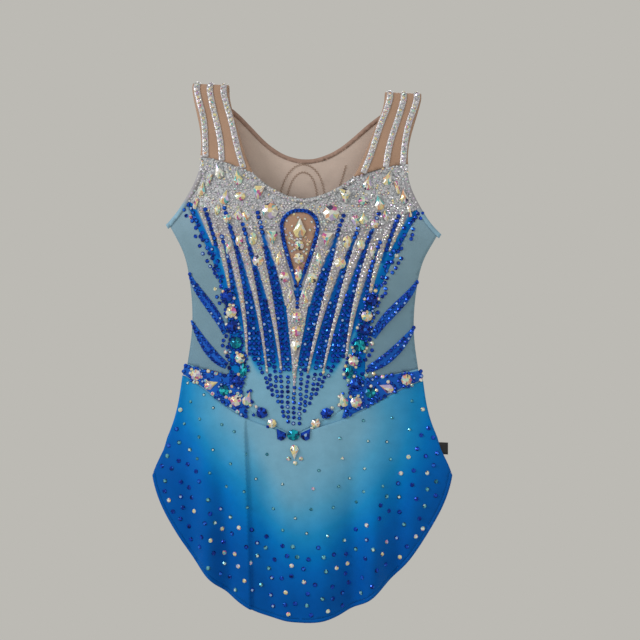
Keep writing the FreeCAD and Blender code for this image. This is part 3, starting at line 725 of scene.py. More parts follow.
class Scatter:
    """Stones on one surface that don't lie on each other."""

    def __init__(self):
        self.cells = {}
        self.size = 12 * MM

    def near(self, u, v):
        a, b = int(u // self.size), int(v // self.size)
        return [s for i in (a - 1, a, a + 1) for j in (b - 1, b, b + 1) for s in self.cells.get((i, j), ())]

    def reserve(self, u, v, radius):
        self.cells.setdefault((int(u // self.size), int(v // self.size)), []).append((u, v, radius))

    def put(self, u, v, radius, gap):
        """Keeps a stone if there is room for it, and says whether."""
        if any(math.hypot(u - a, v - b) < radius + r + gap for a, b, r in self.near(u, v)):
            return False
        self.reserve(u, v, radius)
        return True

    def claim(self, stones):
        """Reserves the places of large stones, as a few circles along each."""
        for middle, outline in stones:
            far = outline[np.argmax(np.hypot(*outline.T))]
            length = np.hypot(*far)
            side = np.array([-far[1], far[0]]) / length
            width = np.abs(outline @ side).max()
            reach = max(length - width, 0)
            for share in (np.linspace(-1, 1, 5) if reach > 0.5 * MM else [0]):
                u, v = middle + far / length * reach * share
                self.reserve(u, v, width * 0.9)

    def fill(self, loops, pitch, radius, jitter, margin, gap, keep=1.0):
        """A jittered triangular grid of stones within outlines, a share of the radius from their rim."""
        low, high = np.min([r.min(0) for r in loops], 0), np.max([r.max(0) for r in loops], 0)
        grid = np.array([(u + (i % 2) * pitch / 2, v)
                         for i, v in enumerate(np.arange(low[1], high[1], pitch * 0.866))
                         for u in np.arange(low[0], high[0], pitch)])
        grid = grid + rng.normal(0, jitter * pitch, grid.shape)
        grid = grid[inside(grid, loops)]
        if len(grid):
            grid = grid[edge_distance(grid, loops) > radius * margin]
        return [(u, v, radius) for u, v in grid if rng.random() < keep and self.put(u, v, radius, gap)]

    def row(self, path, pitch, radius, wobble, gap, keep=1.0):
        """Stones along a path, scattered by a wobble."""
        spots = spaced(path, pitch)
        spots = spots + rng.normal(0, wobble, spots.shape) if wobble else spots
        return [(u, v, radius) for u, v in spots if rng.random() < keep and self.put(u, v, radius, gap)]


def spaced(path, pitch):
    """Evenly spaced places along a path."""
    path = np.asarray(path, float)
    legs = np.hypot(*np.diff(path, axis=0).T)
    run = np.concatenate([[0], np.cumsum(legs)])
    stops = np.arange(pitch / 2, run[-1], pitch)
    return np.stack([np.interp(stops, run, path[:, k]) for k in (0, 1)], 1)


SLOT_OF = {"crystal": "clear_glass", "rainbow": "clear_glass", "sapphire": "sapphire_glass",
           "teal": "teal_glass", "aqua": "teal_glass"}


class Setting:
    """The small stones glued to one surface: kept apart from each other, in one mesh for each colour."""

    def __init__(self, name, surface, body):
        self.name, self.surface, self.body = name, surface, body
        self.scatter = Scatter()
        self.places = {}

    def add(self, places, lift, odds, choose=None):
        """Glues on the places, or those that are chosen, each in a colour drawn by its odds."""
        colours = list(odds)
        share = np.array(list(odds.values())) / sum(odds.values())
        for place in [place for place in places if choose is None or choose(place)]:
            self.places.setdefault(colours[rng.choice(len(colours), p=share)], []).append((*place, lift))

    def row(self, path, sizes, lift, odds, wobble=0.0, gap=-0.2, keep=1.0, choose=None):
        """Stones along a path. Sizes (pitch and radius), wobble and gap are in mm."""
        pitch, radius = sizes
        places = self.scatter.row(path, pitch * MM, radius * MM, wobble * MM, gap * MM, keep)
        self.add(places, lift, odds, choose)

    def fill(self, loops, sizes, lift, odds, jitter, margin, gap, keep=1.0, choose=None):
        """Stones within outlines. Sizes (pitch and radius) and gap are in mm."""
        pitch, radius = sizes
        places = self.scatter.fill(loops, pitch * MM, radius * MM, jitter, margin, gap * MM, keep)
        self.add(places, lift, odds, choose)

    def finish(self):
        for colour, places in self.places.items():
            obj = small_stones(f"{self.name}_small_{colour}", places, self.surface, colour)
            attach(obj, SLOT_OF[colour], self.body)


# ---------------------------------------------------------------- lines read from the CAD outlines

def crossings(loops, v):
    """Where outlines cross a level, from the lowest u to the highest."""
    found = []
    for loop in loops:
        for (ax, az), (bx, bz) in zip(loop, np.roll(loop, -1, 0)):
            if (az > v) != (bz > v):
                found.append(ax + (bx - ax) * (v - az) / (bz - az))
    return sorted(found)


def edge(loop, levels, pick, skip=4 * MM):
    """One side (pick min or max) of an upright piece, carried on straight past its ends."""
    known = np.arange(loop[:, 1].min() + skip / 2, loop[:, 1].max() - skip, 2 * MM)
    at = np.array([pick(crossings([loop], v)) for v in known])
    found = np.interp(levels, known, at)
    for end, beside in ((0, 3), (-1, -4)):
        slope = (at[end] - at[beside]) / (known[end] - known[beside])
        past = (levels - known[end]) * (1 if end else -1) > 0
        found = np.where(past, at[end] + slope * (levels - known[end]), found)
    return found


def run_of(loop, keep):
    """The open stretch of an anticlockwise outline that satisfies a test."""
    kept = keep(loop)
    start = next(i for i in range(len(loop)) if kept[i] and not kept[i - 1])
    turned, kept = np.roll(loop, -start, 0), np.roll(kept, -start)
    return turned[:int(np.argmin(kept))]


def offset(loop, distance):
    """A closed anticlockwise outline moved outwards."""
    step_on = np.roll(loop, -1, 0) - np.roll(loop, 1, 0)
    step_on /= np.hypot(*step_on.T)[:, None]
    return loop + np.column_stack([step_on[:, 1], -step_on[:, 0]]) * distance


def over_the_fold(loop):
    """A strap's outline in front, carried on over the hanger and down behind, as a flat strip."""
    run = run_of(loop, lambda p: p[:, 1] < STRAP_TOP - 3 * MM)
    down = np.array([0, 3 * MM, (STRAP_TOP - STRAP_BACK_END) / 2, STRAP_TOP - STRAP_BACK_END])
    levels = STRAP_TOP - np.concatenate([[0], down])
    rise = STRAP_TOP + np.concatenate([[0], STRAP_ARCH + down])
    ends = [crossings([loop], min(v, STRAP_TOP - 1 * MM)) for v in levels]
    left, right = (np.column_stack([[pick(c) for c in ends], rise]) for pick in (min, max))
    return np.vstack([run, right, left[::-1]])


# ---------------------------------------------------------------- the bodice's pattern

BODICE, CENTRE = outlines("front_bodice"), outlines("fan_centre")
HIP_BELTS = [outlines("hip_belt_" + side)[0] for side, _ in SIDES]
BLADES = {side: sorted(outlines("fan_stripes_" + side), key=lambda loop: -abs(loop[:, 0].mean()))
          for side, _ in SIDES}
# Top and foot of the blue band inside each blade, from the outermost blade in.
BAND_TOPS = np.array([-143, -174, -141, -159, -145]) * MM
BAND_FEET = np.array([-186, -262, -322, -326, -332]) * MM
# The side of the blue field that the blades stand on: level and half width.
FIELD_SIDE = np.array([(-345, 41), (-331, 46), (-310, 54), (-290, 62), (-270, 70), (-250, 82),
                       (-240, 150)]) * MM


def bodice_edge(levels):
    """Half width of the bodice panel at some levels."""
    known = np.arange(-0.335, -0.14, 4 * MM)
    return np.interp(levels, known, [max(crossings(BODICE, v)) for v in known])


def centre_half(levels):
    """Half width of the fan's middle piece, its arms included."""
    known = np.arange(-0.355, -0.176, 3 * MM)
    half = np.array([max(crossings(CENTRE, v)) for v in known])
    top = half[-1] + (half[-1] - half[-4]) / (known[-1] - known[-4]) * (levels - known[-1])
    return np.where(levels > known[-1], top, np.interp(levels, known, half))


def band_sides(side_name, side, n, levels):
    """The cloth between blade n and the next: outer and inner half width, and the silver beside its blue."""
    inward, outward = (min, max) if side > 0 else (max, min)
    blades = BLADES[side_name]
    outer = edge(blades[n], levels, inward) * side
    inner = edge(blades[n + 1], levels, outward) * side if n + 1 < len(blades) else centre_half(levels)
    gap = outer - inner
    band = np.minimum(gap, 4.8 * MM + (gap - 4.8 * MM) * step(-0.165, -0.21, levels))
    return outer, inner, np.maximum(0, (gap - band) / 2)


def in_bands(flat):
    """How far each place is in one of the blue bands, from 0 to 1."""
    u, v = flat[:, 0], flat[:, 1]
    found = np.zeros(len(flat))
    for side_name, side in SIDES:
        for n, (top, foot) in enumerate(zip(BAND_TOPS, BAND_FEET)):
            outer, inner, swell = band_sides(side_name, side, n, v)
            depth = np.minimum(outer - swell - u * side, u * side - inner - swell)
            found = np.maximum(found, step(-0.6 * MM, 0.8 * MM, depth) * (v < top) * (v > foot - 15 * MM))
    return found


# ---------------------------------------------------------------- dyes

# How much of a cloth's colour the room's light brings to the camera.
LIGHT = 0.66


def ramp(at, stops):
    """Colour between stops, each a place and a screen colour, as the cloth's own colour."""
    colours = np.array([linear(*colour) for _, colour in stops]) / LIGHT
    return np.stack([np.interp(at, [place for place, _ in stops], colours[:, k]) for k in range(3)], 1)


SKIRT_DYE = [(0, (115, 157, 179)), (0.35, (103, 153, 179)), (0.62, (67, 142, 181)), (0.9, (22, 122, 178)),
             (1.12, (0, 103, 175)), (1.35, (0, 88, 166)), (1.8, (0, 74, 150))]


def depth_of_blue(u, v):
    """From 0 in the skirt's pale middle to 1 and over at its sides and hem."""
    return (np.abs(u) / (140 * MM)) ** 1.6 + (np.maximum(0, -380 * MM - v) / (150 * MM)) ** 1.6


def skirt_dye(flat, pleat):
    """Pale in the middle, azure to deep blue outwards, and sooner so on the pleat's side of the front."""
    u, v = flat.T
    shift = 30 * MM * step(-365 * MM, -450 * MM, v) * step(-4 * MM, -52 * MM, u) * pleat
    return ramp(depth_of_blue(np.abs(u) + shift, v) + 0.04 * waves(u, v, 0.06, 3), SKIRT_DYE)


def brief_dye(flat):
    """The brief, guessed: pale where it joins the body, azure under the skirt."""
    under_skirt = step(-0.41, -0.46, flat[:, 1])
    return ramp(0.3 + 0.7 * under_skirt + 0.1 * waves(flat[:, 0], flat[:, 1], 0.09, 4), SKIRT_DYE)


SILVER, AQUA_EDGE, NUDE_EDGE = (150, 148, 154), (126, 160, 180), (172, 146, 132)


def bodice_dye(flat):
    """Silver between the tops of the blue bands, azure along the side edges, pale aqua below the fan."""
    u, v = np.abs(flat[:, 0]), flat[:, 1]
    within_field, past_rim = np.interp(v, *FIELD_SIDE.T) - u, u - bodice_edge(v)
    field = step(-4 * MM, 4 * MM, within_field) * step(-0.345, -0.3, v)
    bands = in_bands(flat) * step(-3 * MM, 3 * MM, within_field)
    inner = np.interp(v, [-0.3, -0.24], [-11 * MM, -5 * MM])
    side = step(-12 * MM, 0, past_rim - inner) * step(-0.36, -0.32, v)
    notch = (u < 5 * MM) * (v < -0.235) * (v > -0.26)
    deep = np.maximum(np.minimum(field, np.maximum(bands, v < -0.25)), notch)
    blue = ramp(np.maximum(1.5 * deep, 1.12 * side) + 0.15, SKIRT_DYE)
    silver = (1 - bands) * step(-0.25, -0.22, v) * step(-8 * MM, -12 * MM, past_rim) * (1 - notch)
    within_blade = edge(BLADES["right"][1], v, max) - u
    silver = silver * np.maximum(step(-0.18, -0.165, v), step(0, 3 * MM, within_blade))
    silver = silver[:, None]
    return blue * (1 - silver) + linear(*SILVER) / LIGHT * silver


def edging_dye(upper):
    """An armhole's edge: pale blue beside the net and another colour above it."""
    return lambda flat: ramp(flat[:, 1], [(-0.142, AQUA_EDGE), (-0.134, upper)])


NET_DYE = [(-0.33, (102, 135, 154)), (-0.24, (108, 139, 155)), (-0.2, (112, 142, 157)),
           (-0.13, (130, 160, 178))]


def mesh_dye(flat):
    """The side net: pale blue over skin, lighter upwards, with soft slanting streaks."""
    u, v = flat.T
    return ramp(v + 0.012 * waves(u * 2.2 + v * 0.8, v * 0.35, 0.05, 5), NET_DYE)


def back_dye(flat):
    """The lower back, guessed: azure under the seam, paler towards the waist."""
    return ramp(1.2 * step(-0.26, -0.17, flat[:, 1]) + 0.2, SKIRT_DYE)


def nude_dye(*colour):
    return lambda flat: np.repeat([linear(*colour) / LIGHT], len(flat), 0)


# ---------------------------------------------------------------- materials in use

LYCRA = dyed_lycra("dyed_lycra")
SKIRT_LYCRA = dyed_lycra("skirt_lycra", 0.45)
BLUE_NET = sheer_mesh("blue_net", 0.8)
NUDE_NET = sheer_mesh("nude_net", 0.9)
FOIL = silver_foil("silver_cloth")
BLADE_FOIL = silver_foil("blade_foil", (0.36, 0.345, 0.37), (0.66, 0.64, 0.68))
TAPE = silver_foil("strap_tape", (0.5, 0.49, 0.53), (0.82, 0.81, 0.87))
DEEP_BLUE = plain_knit("deep_blue_knit", linear(10, 80, 170) / LIGHT)
NUDE_BINDING = plain_knit("nude_binding", linear(176, 146, 132))
ELASTIC = plain_knit("leg_elastic", linear(20, 90, 160), wale=1.5 * MM, strength=0.5)
LINING = plain_knit("cotton_lining", linear(214, 208, 196), wale=1.2 * MM)
LABEL = satin("label_satin", (0.012, 0.012, 0.014))
THREAD = satin("sewing_thread", tuple(linear(146, 112, 88)))

# ---------------------------------------------------------------- the body's panels

# How far a piece's outer face stands above the cloth's, or behind it for the edgings' inner layer.
TRIM_LIFT, TRIM_THICKNESS = 0.75 * MM, 0.5 * MM
EDGING_LIFT, EDGING_INSIDE, BELT_LIFT = 0.9 * MM, -0.95 * MM, 1.5 * MM
ON_CLOTH, ON_TRIM = 0.1 * MM, TRIM_LIFT + 0.1 * MM


def trim_piece(name, node, surface, material, slot, side=1, lift=TRIM_LIFT, body=TORSO, dye=None):
    """An edging or an applied trim, which stands for the CAD node whose outline it has."""
    obj = cloth(name, outlines(node, side), surface, material, lift, TRIM_THICKNESS, pitch=3 * MM, dye=dye)
    return attach(obj, slot, body, node)


def panels(side, surface, rows):
    """The panels of the front or the back, from the CAD nodes of their names. A net's node says mesh."""
    made = {}
    for name, material, slot, dye, pitch in rows:
        node = name.replace("side_net", "side_mesh")
        panel = cloth(name + "_cloth", outlines(node, side), surface, material, pitch=pitch * MM, dye=dye)
        made[name] = attach(panel, slot, TORSO, node)
    return made


def body_panels():
    net = (BLUE_NET, "blue_mesh", mesh_dye, 4)
    front = panels(1, FRONT, [
        ("front_yoke", FOIL, "silver_cloth", None, 4),
        ("keyhole_inset", NUDE_NET, "nude_mesh", nude_dye(158, 126, 106), 4),
        ("front_bodice", LYCRA, "body_lycra", bodice_dye, 2.2),
        ("brief_front", LYCRA, "body_lycra", brief_dye, 4),
        ("side_net_front_left", *net), ("side_net_front_right", *net)])
    back = panels(-1, BACK, [
        ("back_upper", NUDE_NET, "nude_mesh", nude_dye(182, 165, 155), 4),
        ("back_lower", LYCRA, "body_lycra", back_dye, 4),
        ("brief_back", LYCRA, "body_lycra", brief_dye, 4),
        ("side_net_back_left", *net), ("side_net_back_right", *net)])
    return front, back


def edgings():
    """Bindings and elastics, on the outside and folded to the inside."""
    armhole = (LYCRA, "binding", {"front": edging_dye(SILVER), "back": edging_dye(NUDE_EDGE)})
    elastic = (ELASTIC, "elastic", {"front": None, "back": None})
    kinds = {"neck_binding_front": (FOIL, "silver_cloth", {"front": None}),
             "neck_binding_back": (NUDE_BINDING, "binding", {"back": None}),
             "armhole_binding_left": armhole, "armhole_binding_right": armhole,
             "leg_elastic_left": elastic, "leg_elastic_right": elastic}
    made = {}
    for node, (material, slot, dyes) in kinds.items():
        for face, side, surface in (("front", 1, FRONT), ("back", -1, BACK)):
            if face not in dyes:
                continue
            for where, lift in (("outside", EDGING_LIFT), ("inside", EDGING_INSIDE)):
                name = f"{node}_{face}_{where}"
                made[name] = trim_piece(name, node, surface, material, slot, side, lift, dye=dyes[face])
    return made


def applied_trims():
    foil, blue = (FRONT, BLADE_FOIL, "silver_cloth"), (FRONT, DEEP_BLUE, "blue_lycra")
    made = {"fan_centre": trim_piece("fan_centre_band", "fan_centre", *foil),
            "keyhole_rim": trim_piece("keyhole_rim_band", "keyhole_rim", *blue)}
    for side, _ in SIDES:
        made["fan_" + side] = trim_piece("fan_bands_" + side, "fan_stripes_" + side, *foil)
        for level in ("upper", "lower"):
            node = f"side_stripe_{level}_{side}"
            made[node] = trim_piece(node + "_band", node, *blue)
        made["belt_" + side] = trim_piece("hip_belt_band_" + side, "hip_belt_" + side, *blue, lift=BELT_LIFT)
    return made


TAPES = ("inner", "middle", "outer")


def tape_outline(side, place):
    """A strap tape as a flat strip, with its foot carried on downwards."""
    further = 5 * MM
    loop = outlines(f"strap_tape_{side}_{place}")[0]
    low = loop[:, 1].min()
    foot = loop[:, 1] < low + 3 * MM
    near, far = (np.mean(crossings([loop], low + rise)) for rise in (6 * MM, 26 * MM))
    return over_the_fold(loop - foot[:, None] * np.array([(far - near) / (20 * MM), 1]) * further)


def strap_pieces():
    """Each strap folds over the hanger and carries three tapes."""
    made = {}
    for side, _ in SIDES:
        surface = STRAPS[side]
        node = "strap_" + side
        strap = cloth(node + "_net", [over_the_fold(outlines(node)[0])], surface, NUDE_NET,
                      dye=nude_dye(158, 128, 108))
        attach(strap, "nude_mesh", TORSO, node)
        tapes = []
        for place in TAPES:
            node = f"strap_tape_{side}_{place}"
            tape = cloth(node + "_cloth", [tape_outline(side, place)], surface, TAPE, TRIM_LIFT,
                         TRIM_THICKNESS, pitch=3 * MM)
            tapes.append(attach(tape, "silver_cloth", TORSO, node))
        made[side] = (strap, tapes)
    return made


GUSSET_LEVEL, GUSSET_HALF, GUSSET_RADIUS = -556 * MM, 35 * MM, 12.3 * MM


def gusset_shape(inset):
    """The gusset turns under the crotch, from the front panel (s = 0) round to the back one."""
    def place(u, s):
        radius = lens(BODY_STATIONS, u, np.full_like(u, GUSSET_LEVEL)) - inset
        angle = s / GUSSET_RADIUS
        x, z = hang(u, GUSSET_LEVEL - radius * np.sin(angle))
        return np.stack([x, -radius * np.cos(angle), z], 1)
    return place


def gusset_pieces():
    for node, inset, narrower, material, slot, dye in (
            ("gusset", 0, 0, LYCRA, "body_lycra", brief_dye),
            ("gusset_lining", 1.3 * MM, 3 * MM, LINING, "cotton_lining", None)):
        width, length = GUSSET_HALF - narrower, math.pi * GUSSET_RADIUS
        outline = np.array([(-width, 0), (width, 0), (width, length), (-width, length)])
        piece = cloth(node + "_cloth", [outline], Surface(gusset_shape(inset), -1), material, dye=dye)
        declare(attach(piece, slot, TORSO, node))


LABEL_START, LABEL_LENGTH = 144 * MM, 27 * MM


def label_shape(u, v):
    """The care label stands out at the side seam and curls a little."""
    x, z = hang(u, v)
    curl = (u - LABEL_START) / LABEL_LENGTH
    return np.stack([x, 0.3 * MM + 1.6 * MM * curl ** 2, z - 1.5 * MM * curl], 1)


def care_label():
    low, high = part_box("care_label")
    outline = np.array([(low[0], low[2]), (high[0], low[2]), (high[0], high[2]), (low[0], high[2])])
    label = cloth("care_label_cloth", [outline], Surface(label_shape), LABEL, thickness=0.35 * MM)
    declare(attach(label, "label_satin", TORSO, "care_label"))


# ---------------------------------------------------------------- the skirt

def skirt_pieces():
    """Front and back: one sheet from the seam to the hem, which stands for both CAD panels."""
    sheets = []
    levels = np.arange(PLEAT_TOP[1] - 6 * MM, PLEAT_LOW[1], -1.5 * MM)
    pleat = [np.column_stack([pleat_line(levels) + aside * MM, levels]) for aside in (-1.2, -0.4, 0)]
    for face, side, surface, body, lines, above in (
            ("front", 1, SKIRT_FRONT, FRONT_PANEL, pleat, "front_bodice_cloth"),
            ("back", -1, SKIRT_BACK, BACK_PANEL, (), "back_lower_cloth")):
        seam, panel = outlines("skirt_seam_" + face, side)[0], outlines("skirt_" + face, side)[0]
        upper = run_of(seam, lambda p: p[:, 1] > seam[:, 1].min() + 0.5 * MM)
        lower = run_of(panel, lambda p: p[:, 1] < panel[:, 1].max() - 0.5 * MM)
        sheets.append(thinned(np.vstack([lower, upper])))
        dye = functools.partial(skirt_dye, pleat=side > 0)
        obj = cloth(f"skirt_{face}_cloth", sheets[-1:], surface, SKIRT_LYCRA, pitch=3 * MM, dye=dye,
                    lines=lines)
        attach(obj, "skirt_lycra", body, "skirt_" + face, "skirt_seam_" + face)
        hem = trim_piece(f"hem_{face}_roll", "hem_" + face, surface, SKIRT_LYCRA, "hem", side, lift=0.1 * MM,
                         body=body, dye=dye)
        declare(obj)
    return sheets


# ---------------------------------------------------------------- sewing

STITCH, STITCH_GAP = 1.6 * MM, 0.9 * MM


def stitches(name, paths, lift, width=0.4 * MM, swing=0.0):
    """Thread on a seam of the back: short bars along a path, or a zigzag when they swing aside."""
    verts, faces = [], []
    for path in paths:
        spots = spaced(path, STITCH if swing else STITCH + STITCH_GAP)
        ahead = np.gradient(spots, axis=0)
        ahead /= np.hypot(*ahead.T)[:, None]
        aside = np.column_stack([ahead[:, 1], -ahead[:, 0]])
        sign = np.where(np.arange(len(spots)) % 2, 1, -1)[:, None]
        if swing:
            tips = spots + aside * sign * swing
            starts, ends = tips[:-1], tips[1:]
        else:
            starts, ends = spots - ahead * STITCH / 2, spots + ahead * STITCH / 2
        across = ends - starts
        across = np.column_stack([across[:, 1], -across[:, 0]]) / np.hypot(*across.T)[:, None] * width / 2
        corners = [BACK.at(places, lift)[0]
                   for places in (starts + across, ends + across, ends - across, starts - across)]
        corners.append(BACK.at((starts + ends) / 2, lift + 0.3 * MM)[0])
        for k in range(len(starts)):
            first = len(verts)
            verts += [corner[k] for corner in corners]
            faces += [tuple(first + i for i in face)
                      for face in ((0, 1, 4), (1, 2, 4), (2, 3, 4), (3, 0, 4), (3, 2, 1, 0))]
    return attach(new_mesh(name, verts, faces, [THREAD], smoothed=False), "binding", TORSO)


def arch(half, foot, crown):
    """A seam line in the shape of a tall arch."""
    turn = np.linspace(0, math.pi, 48)
    return np.column_stack([-half * np.cos(turn), foot + (crown - foot) * np.sin(turn) ** 0.8])


def seams():
    """Stitching that shows inside the back's lining, and along the neck binding."""
    lines = [arch(27 * MM, -140 * MM, -86 * MM), arch(18 * MM, -138 * MM, -95 * MM),
             [(50 * MM, -84 * MM), (46 * MM, -100 * MM), (41 * MM, -118 * MM)]]
    neck = run_of(outlines("neck_binding_back", -1)[0], lambda p: p[:, 1] < -26 * MM)
    return [stitches("back_lining_seams", lines, -1.5 * MM, width=0.55 * MM, swing=1.1 * MM),
            stitches("back_neck_stitches", [offset(neck, -1.2 * MM)[2:-2]], EDGING_LIFT + 0.05 * MM)]


# ---------------------------------------------------------------- placing the stones

# The colour of each CAD group of large stones, in the order that they are set.
LARGE = {
    "stones_rounds": "rainbow", "stones_drops": "rainbow", "stones_navettes": "rainbow",
    "stones_baguettes": "rainbow", "stones_fancies": "rainbow", "stones_kites": "rainbow",
    "stones_ovals": "rainbow", "stones_keyhole": "rainbow", "stones_sapphires": "sapphire",
    "stones_teals": "teal", "stones_chain": "sapphire", "stones_chain_low": "sapphire",
    "pendant_stones": "rainbow",
}
ON_SKIRT = ("stones_chain_low", "pendant_stones")
# The chain's middle stones have another colour: which, and how far they reach from the middle.
CHAIN_MIDDLES = {"stones_chain_low": ("teal", 5 * MM), "stones_chain": ("rainbow", 30 * MM)}
SAPPHIRE, SILVER_MIX = {"sapphire": 1}, {"crystal": 0.5, "rainbow": 0.5}


def set_large_stones(body_scatter, skirt_scatter):
    for node, palette in LARGE.items():
        stones = cad_stones(node)
        body_scatter.claim(stones)
        surface, lift = FRONT, ON_TRIM
        if node in ON_SKIRT:
            skirt_scatter.claim(stones)
            surface, lift = SKIRT_FRONT, 0.3 * MM
        body = FRONT_PANEL if node == "pendant_stones" else TORSO
        parts = [("_cut", palette, stones)]
        if node in CHAIN_MIDDLES:
            other, reach = CHAIN_MIDDLES[node]
            parts = [("_middle", other, [stone for stone in stones if abs(stone[0][0]) < reach]),
                     ("_sides", palette, [stone for stone in stones if abs(stone[0][0]) >= reach])]
        for part, colour, chosen in parts:
            piece = large_stones(node + part, chosen, surface, lift, colour)
            attach(piece, SLOT_OF[colour], body)
        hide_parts(node)


def band_rows(setting, side, outer, inner, levels):
    """Rows of sapphires that fill a band, parallel to its outer side."""
    field = np.interp(levels, *FIELD_SIDE.T)
    for k in range(8):
        u = outer - (2.5 + 5.5 * k) * MM
        fits = u > inner + 1.9 * MM
        if k == 0:
            u, fits = np.where(fits, u, (outer + inner) / 2), fits | (outer > inner + 1.0 * MM)
        fits &= u < field
        if fits.sum() < 4:
            continue
        path = np.column_stack([u * side, levels])[fits][(k % 2) * 2:]
        setting.row(path, (5.9, 2.65), ON_CLOTH + 0.3 * MM, SAPPHIRE, wobble=0.12, gap=-0.5)


def ring_stones(setting):
    """Small stones set close round each large one of the columns and belts."""
    for node in ("stones_rounds", "stones_sapphires", "stones_teals", "stones_drops"):
        for middle, outline in cad_stones(node):
            if abs(middle[0]) < 52 * MM or middle[1] > -236 * MM:
                continue
            ring = middle + dense(offset(outline, 1.9 * MM), 1 * MM)
            lift = BELT_LIFT if inside([middle], HIP_BELTS)[0] else TRIM_LIFT
            setting.row(np.vstack([ring, ring[:1]]), (4.4, 2.0), lift + ON_CLOTH,
                        {"sapphire": 0.78, "rainbow": 0.22}, wobble=0.15, gap=-0.7)


def between(near, far, levels, side):
    """Closed outline of the strip between two edges."""
    strip = np.vstack([np.column_stack([near * side, levels]), np.column_stack([far * side, levels])[::-1]])
    return strip if loop_area(strip) > 0 else strip[::-1]


def fan_of_stones(setting):
    """Crystals on the silver blades; sapphires between them, which end in dotted drips."""
    strips = []
    for path in ([(0, -239 * MM), (0, -256 * MM)], [(-3.8 * MM, -235 * MM), (-2.5 * MM, -246 * MM)],
                 [(3.8 * MM, -235 * MM), (2.5 * MM, -246 * MM)]):
        setting.row(path, (4.6, 2.3), ON_TRIM, SAPPHIRE, gap=-1.2)
    for side_name, side in SIDES:
        for n, (top, foot) in enumerate(zip(BAND_TOPS, BAND_FEET)):
            levels = np.arange(top, foot, -1.5 * MM)
            outer, inner, swell = band_sides(side_name, side, n, levels)
            band_rows(setting, side, outer - swell, inner + swell, levels)
            wide = (swell > 0.8 * MM) & (levels < -160 * MM)
            if wide.sum() > 3:
                strips += [between(outer[wide], (outer - swell)[wide], levels[wide], side),
                           between((inner + swell)[wide], inner[wide], levels[wide], side)]
        for blade in BLADES[side_name]:
            foot = blade[:, 1].min() + MM
            levels = np.arange(max(-200 * MM, foot), foot, -1.5 * MM)
            if len(levels) > 3:
                middle = (edge(blade, levels, min) + edge(blade, levels, max)) / 2
                setting.row(np.column_stack([middle, levels]), (5.0, 1.75), ON_TRIM,
                            {"crystal": 0.35, "rainbow": 0.65}, wobble=0.15, gap=0.3)
            setting.fill([blade], (3.0, 1.3), ON_TRIM, SILVER_MIX, 0.12, 0.3, -0.3,
                         choose=lambda place: place[1] > -204 * MM or rng.random() < 0.5)
    setting.fill(CENTRE, (3.1, 1.5), ON_TRIM, SILVER_MIX, 0.12, 0.3, -0.5)
    for strip in strips:
        setting.fill([strip], (2.9, 1.5), ON_CLOTH + 0.3 * MM, SILVER_MIX, 0.12, 0.1, -0.8)
    for k in range(-6, 7):
        head = (8.6 * k * MM, (-318 + 3 * abs(k) - rng.uniform(0, 5)) * MM)
        tail = (6.0 * k * MM, (-396 + 10.4 * abs(k) - rng.uniform(0, 7)) * MM)
        if head[1] > tail[1]:
            setting.row([head, tail], (5.7, 2.35), ON_CLOTH, SAPPHIRE, wobble=0.35, gap=-0.3)


def bodice_border(setting):
    """Two or three sapphires wide down each side of the bodice, thicker in the column above the belt."""
    cloths = [outlines(node) for node in ("front_bodice", "side_mesh_front_left", "side_mesh_front_right")]

    def on_panel(place):
        return any(inside([place[:2]], loops)[0] for loops in cloths)

    for top, foot, inner, outer, odds in ((-138, -238, 7, 3, {"sapphire": 0.93, "rainbow": 0.07}),
                                          (-236, -343, 15, 6, {"sapphire": 0.8, "rainbow": 0.2})):
        levels = np.arange(top, foot, -3) * MM
        rim = bodice_edge(levels)
        for _, side in SIDES:
            strip = between(rim + outer * MM, rim - inner * MM, levels, side)
            setting.fill([strip], (5.3, 2.55), ON_CLOTH, odds, 0.12, 0.1, -0.5, choose=on_panel)
            path = np.column_stack([(rim + (outer + 3) * MM) * side, levels])
            setting.row(path, (6.5, 2.4), ON_CLOTH, odds, wobble=1.2, gap=0, keep=0.75, choose=on_panel)


def trims_of_stones(setting):
    """Side stripes, belts and the keyhole's rim."""
    rim = offset(outlines("keyhole_inset")[0], 2.1 * MM)
    setting.row(np.vstack([rim, rim[:1]]), (4.6, 2.35), ON_TRIM, SAPPHIRE)
    for side, _ in SIDES:
        for level in ("upper", "lower"):
            stripe = outlines(f"side_stripe_{level}_{side}")
            setting.row(offset(stripe[0], -2.1 * MM), (4.9, 2.3), ON_TRIM, SAPPHIRE, wobble=0.15, gap=-0.7)
            setting.fill(stripe, (4.4, 2.3), ON_TRIM, SAPPHIRE, 0.07, 0.3, -0.6)
        belt, lift = outlines("hip_belt_" + side), BELT_LIFT + ON_CLOTH
        setting.row(offset(belt[0], -0.8 * MM), (5.4, 2.4), lift, {"sapphire": 0.85, "rainbow": 0.15},
                    wobble=0.3, gap=-0.3)
        setting.fill(belt, (4.7, 2.3), lift, {"sapphire": 0.8, "rainbow": 0.2}, 0.1, 0.3, -0.6)


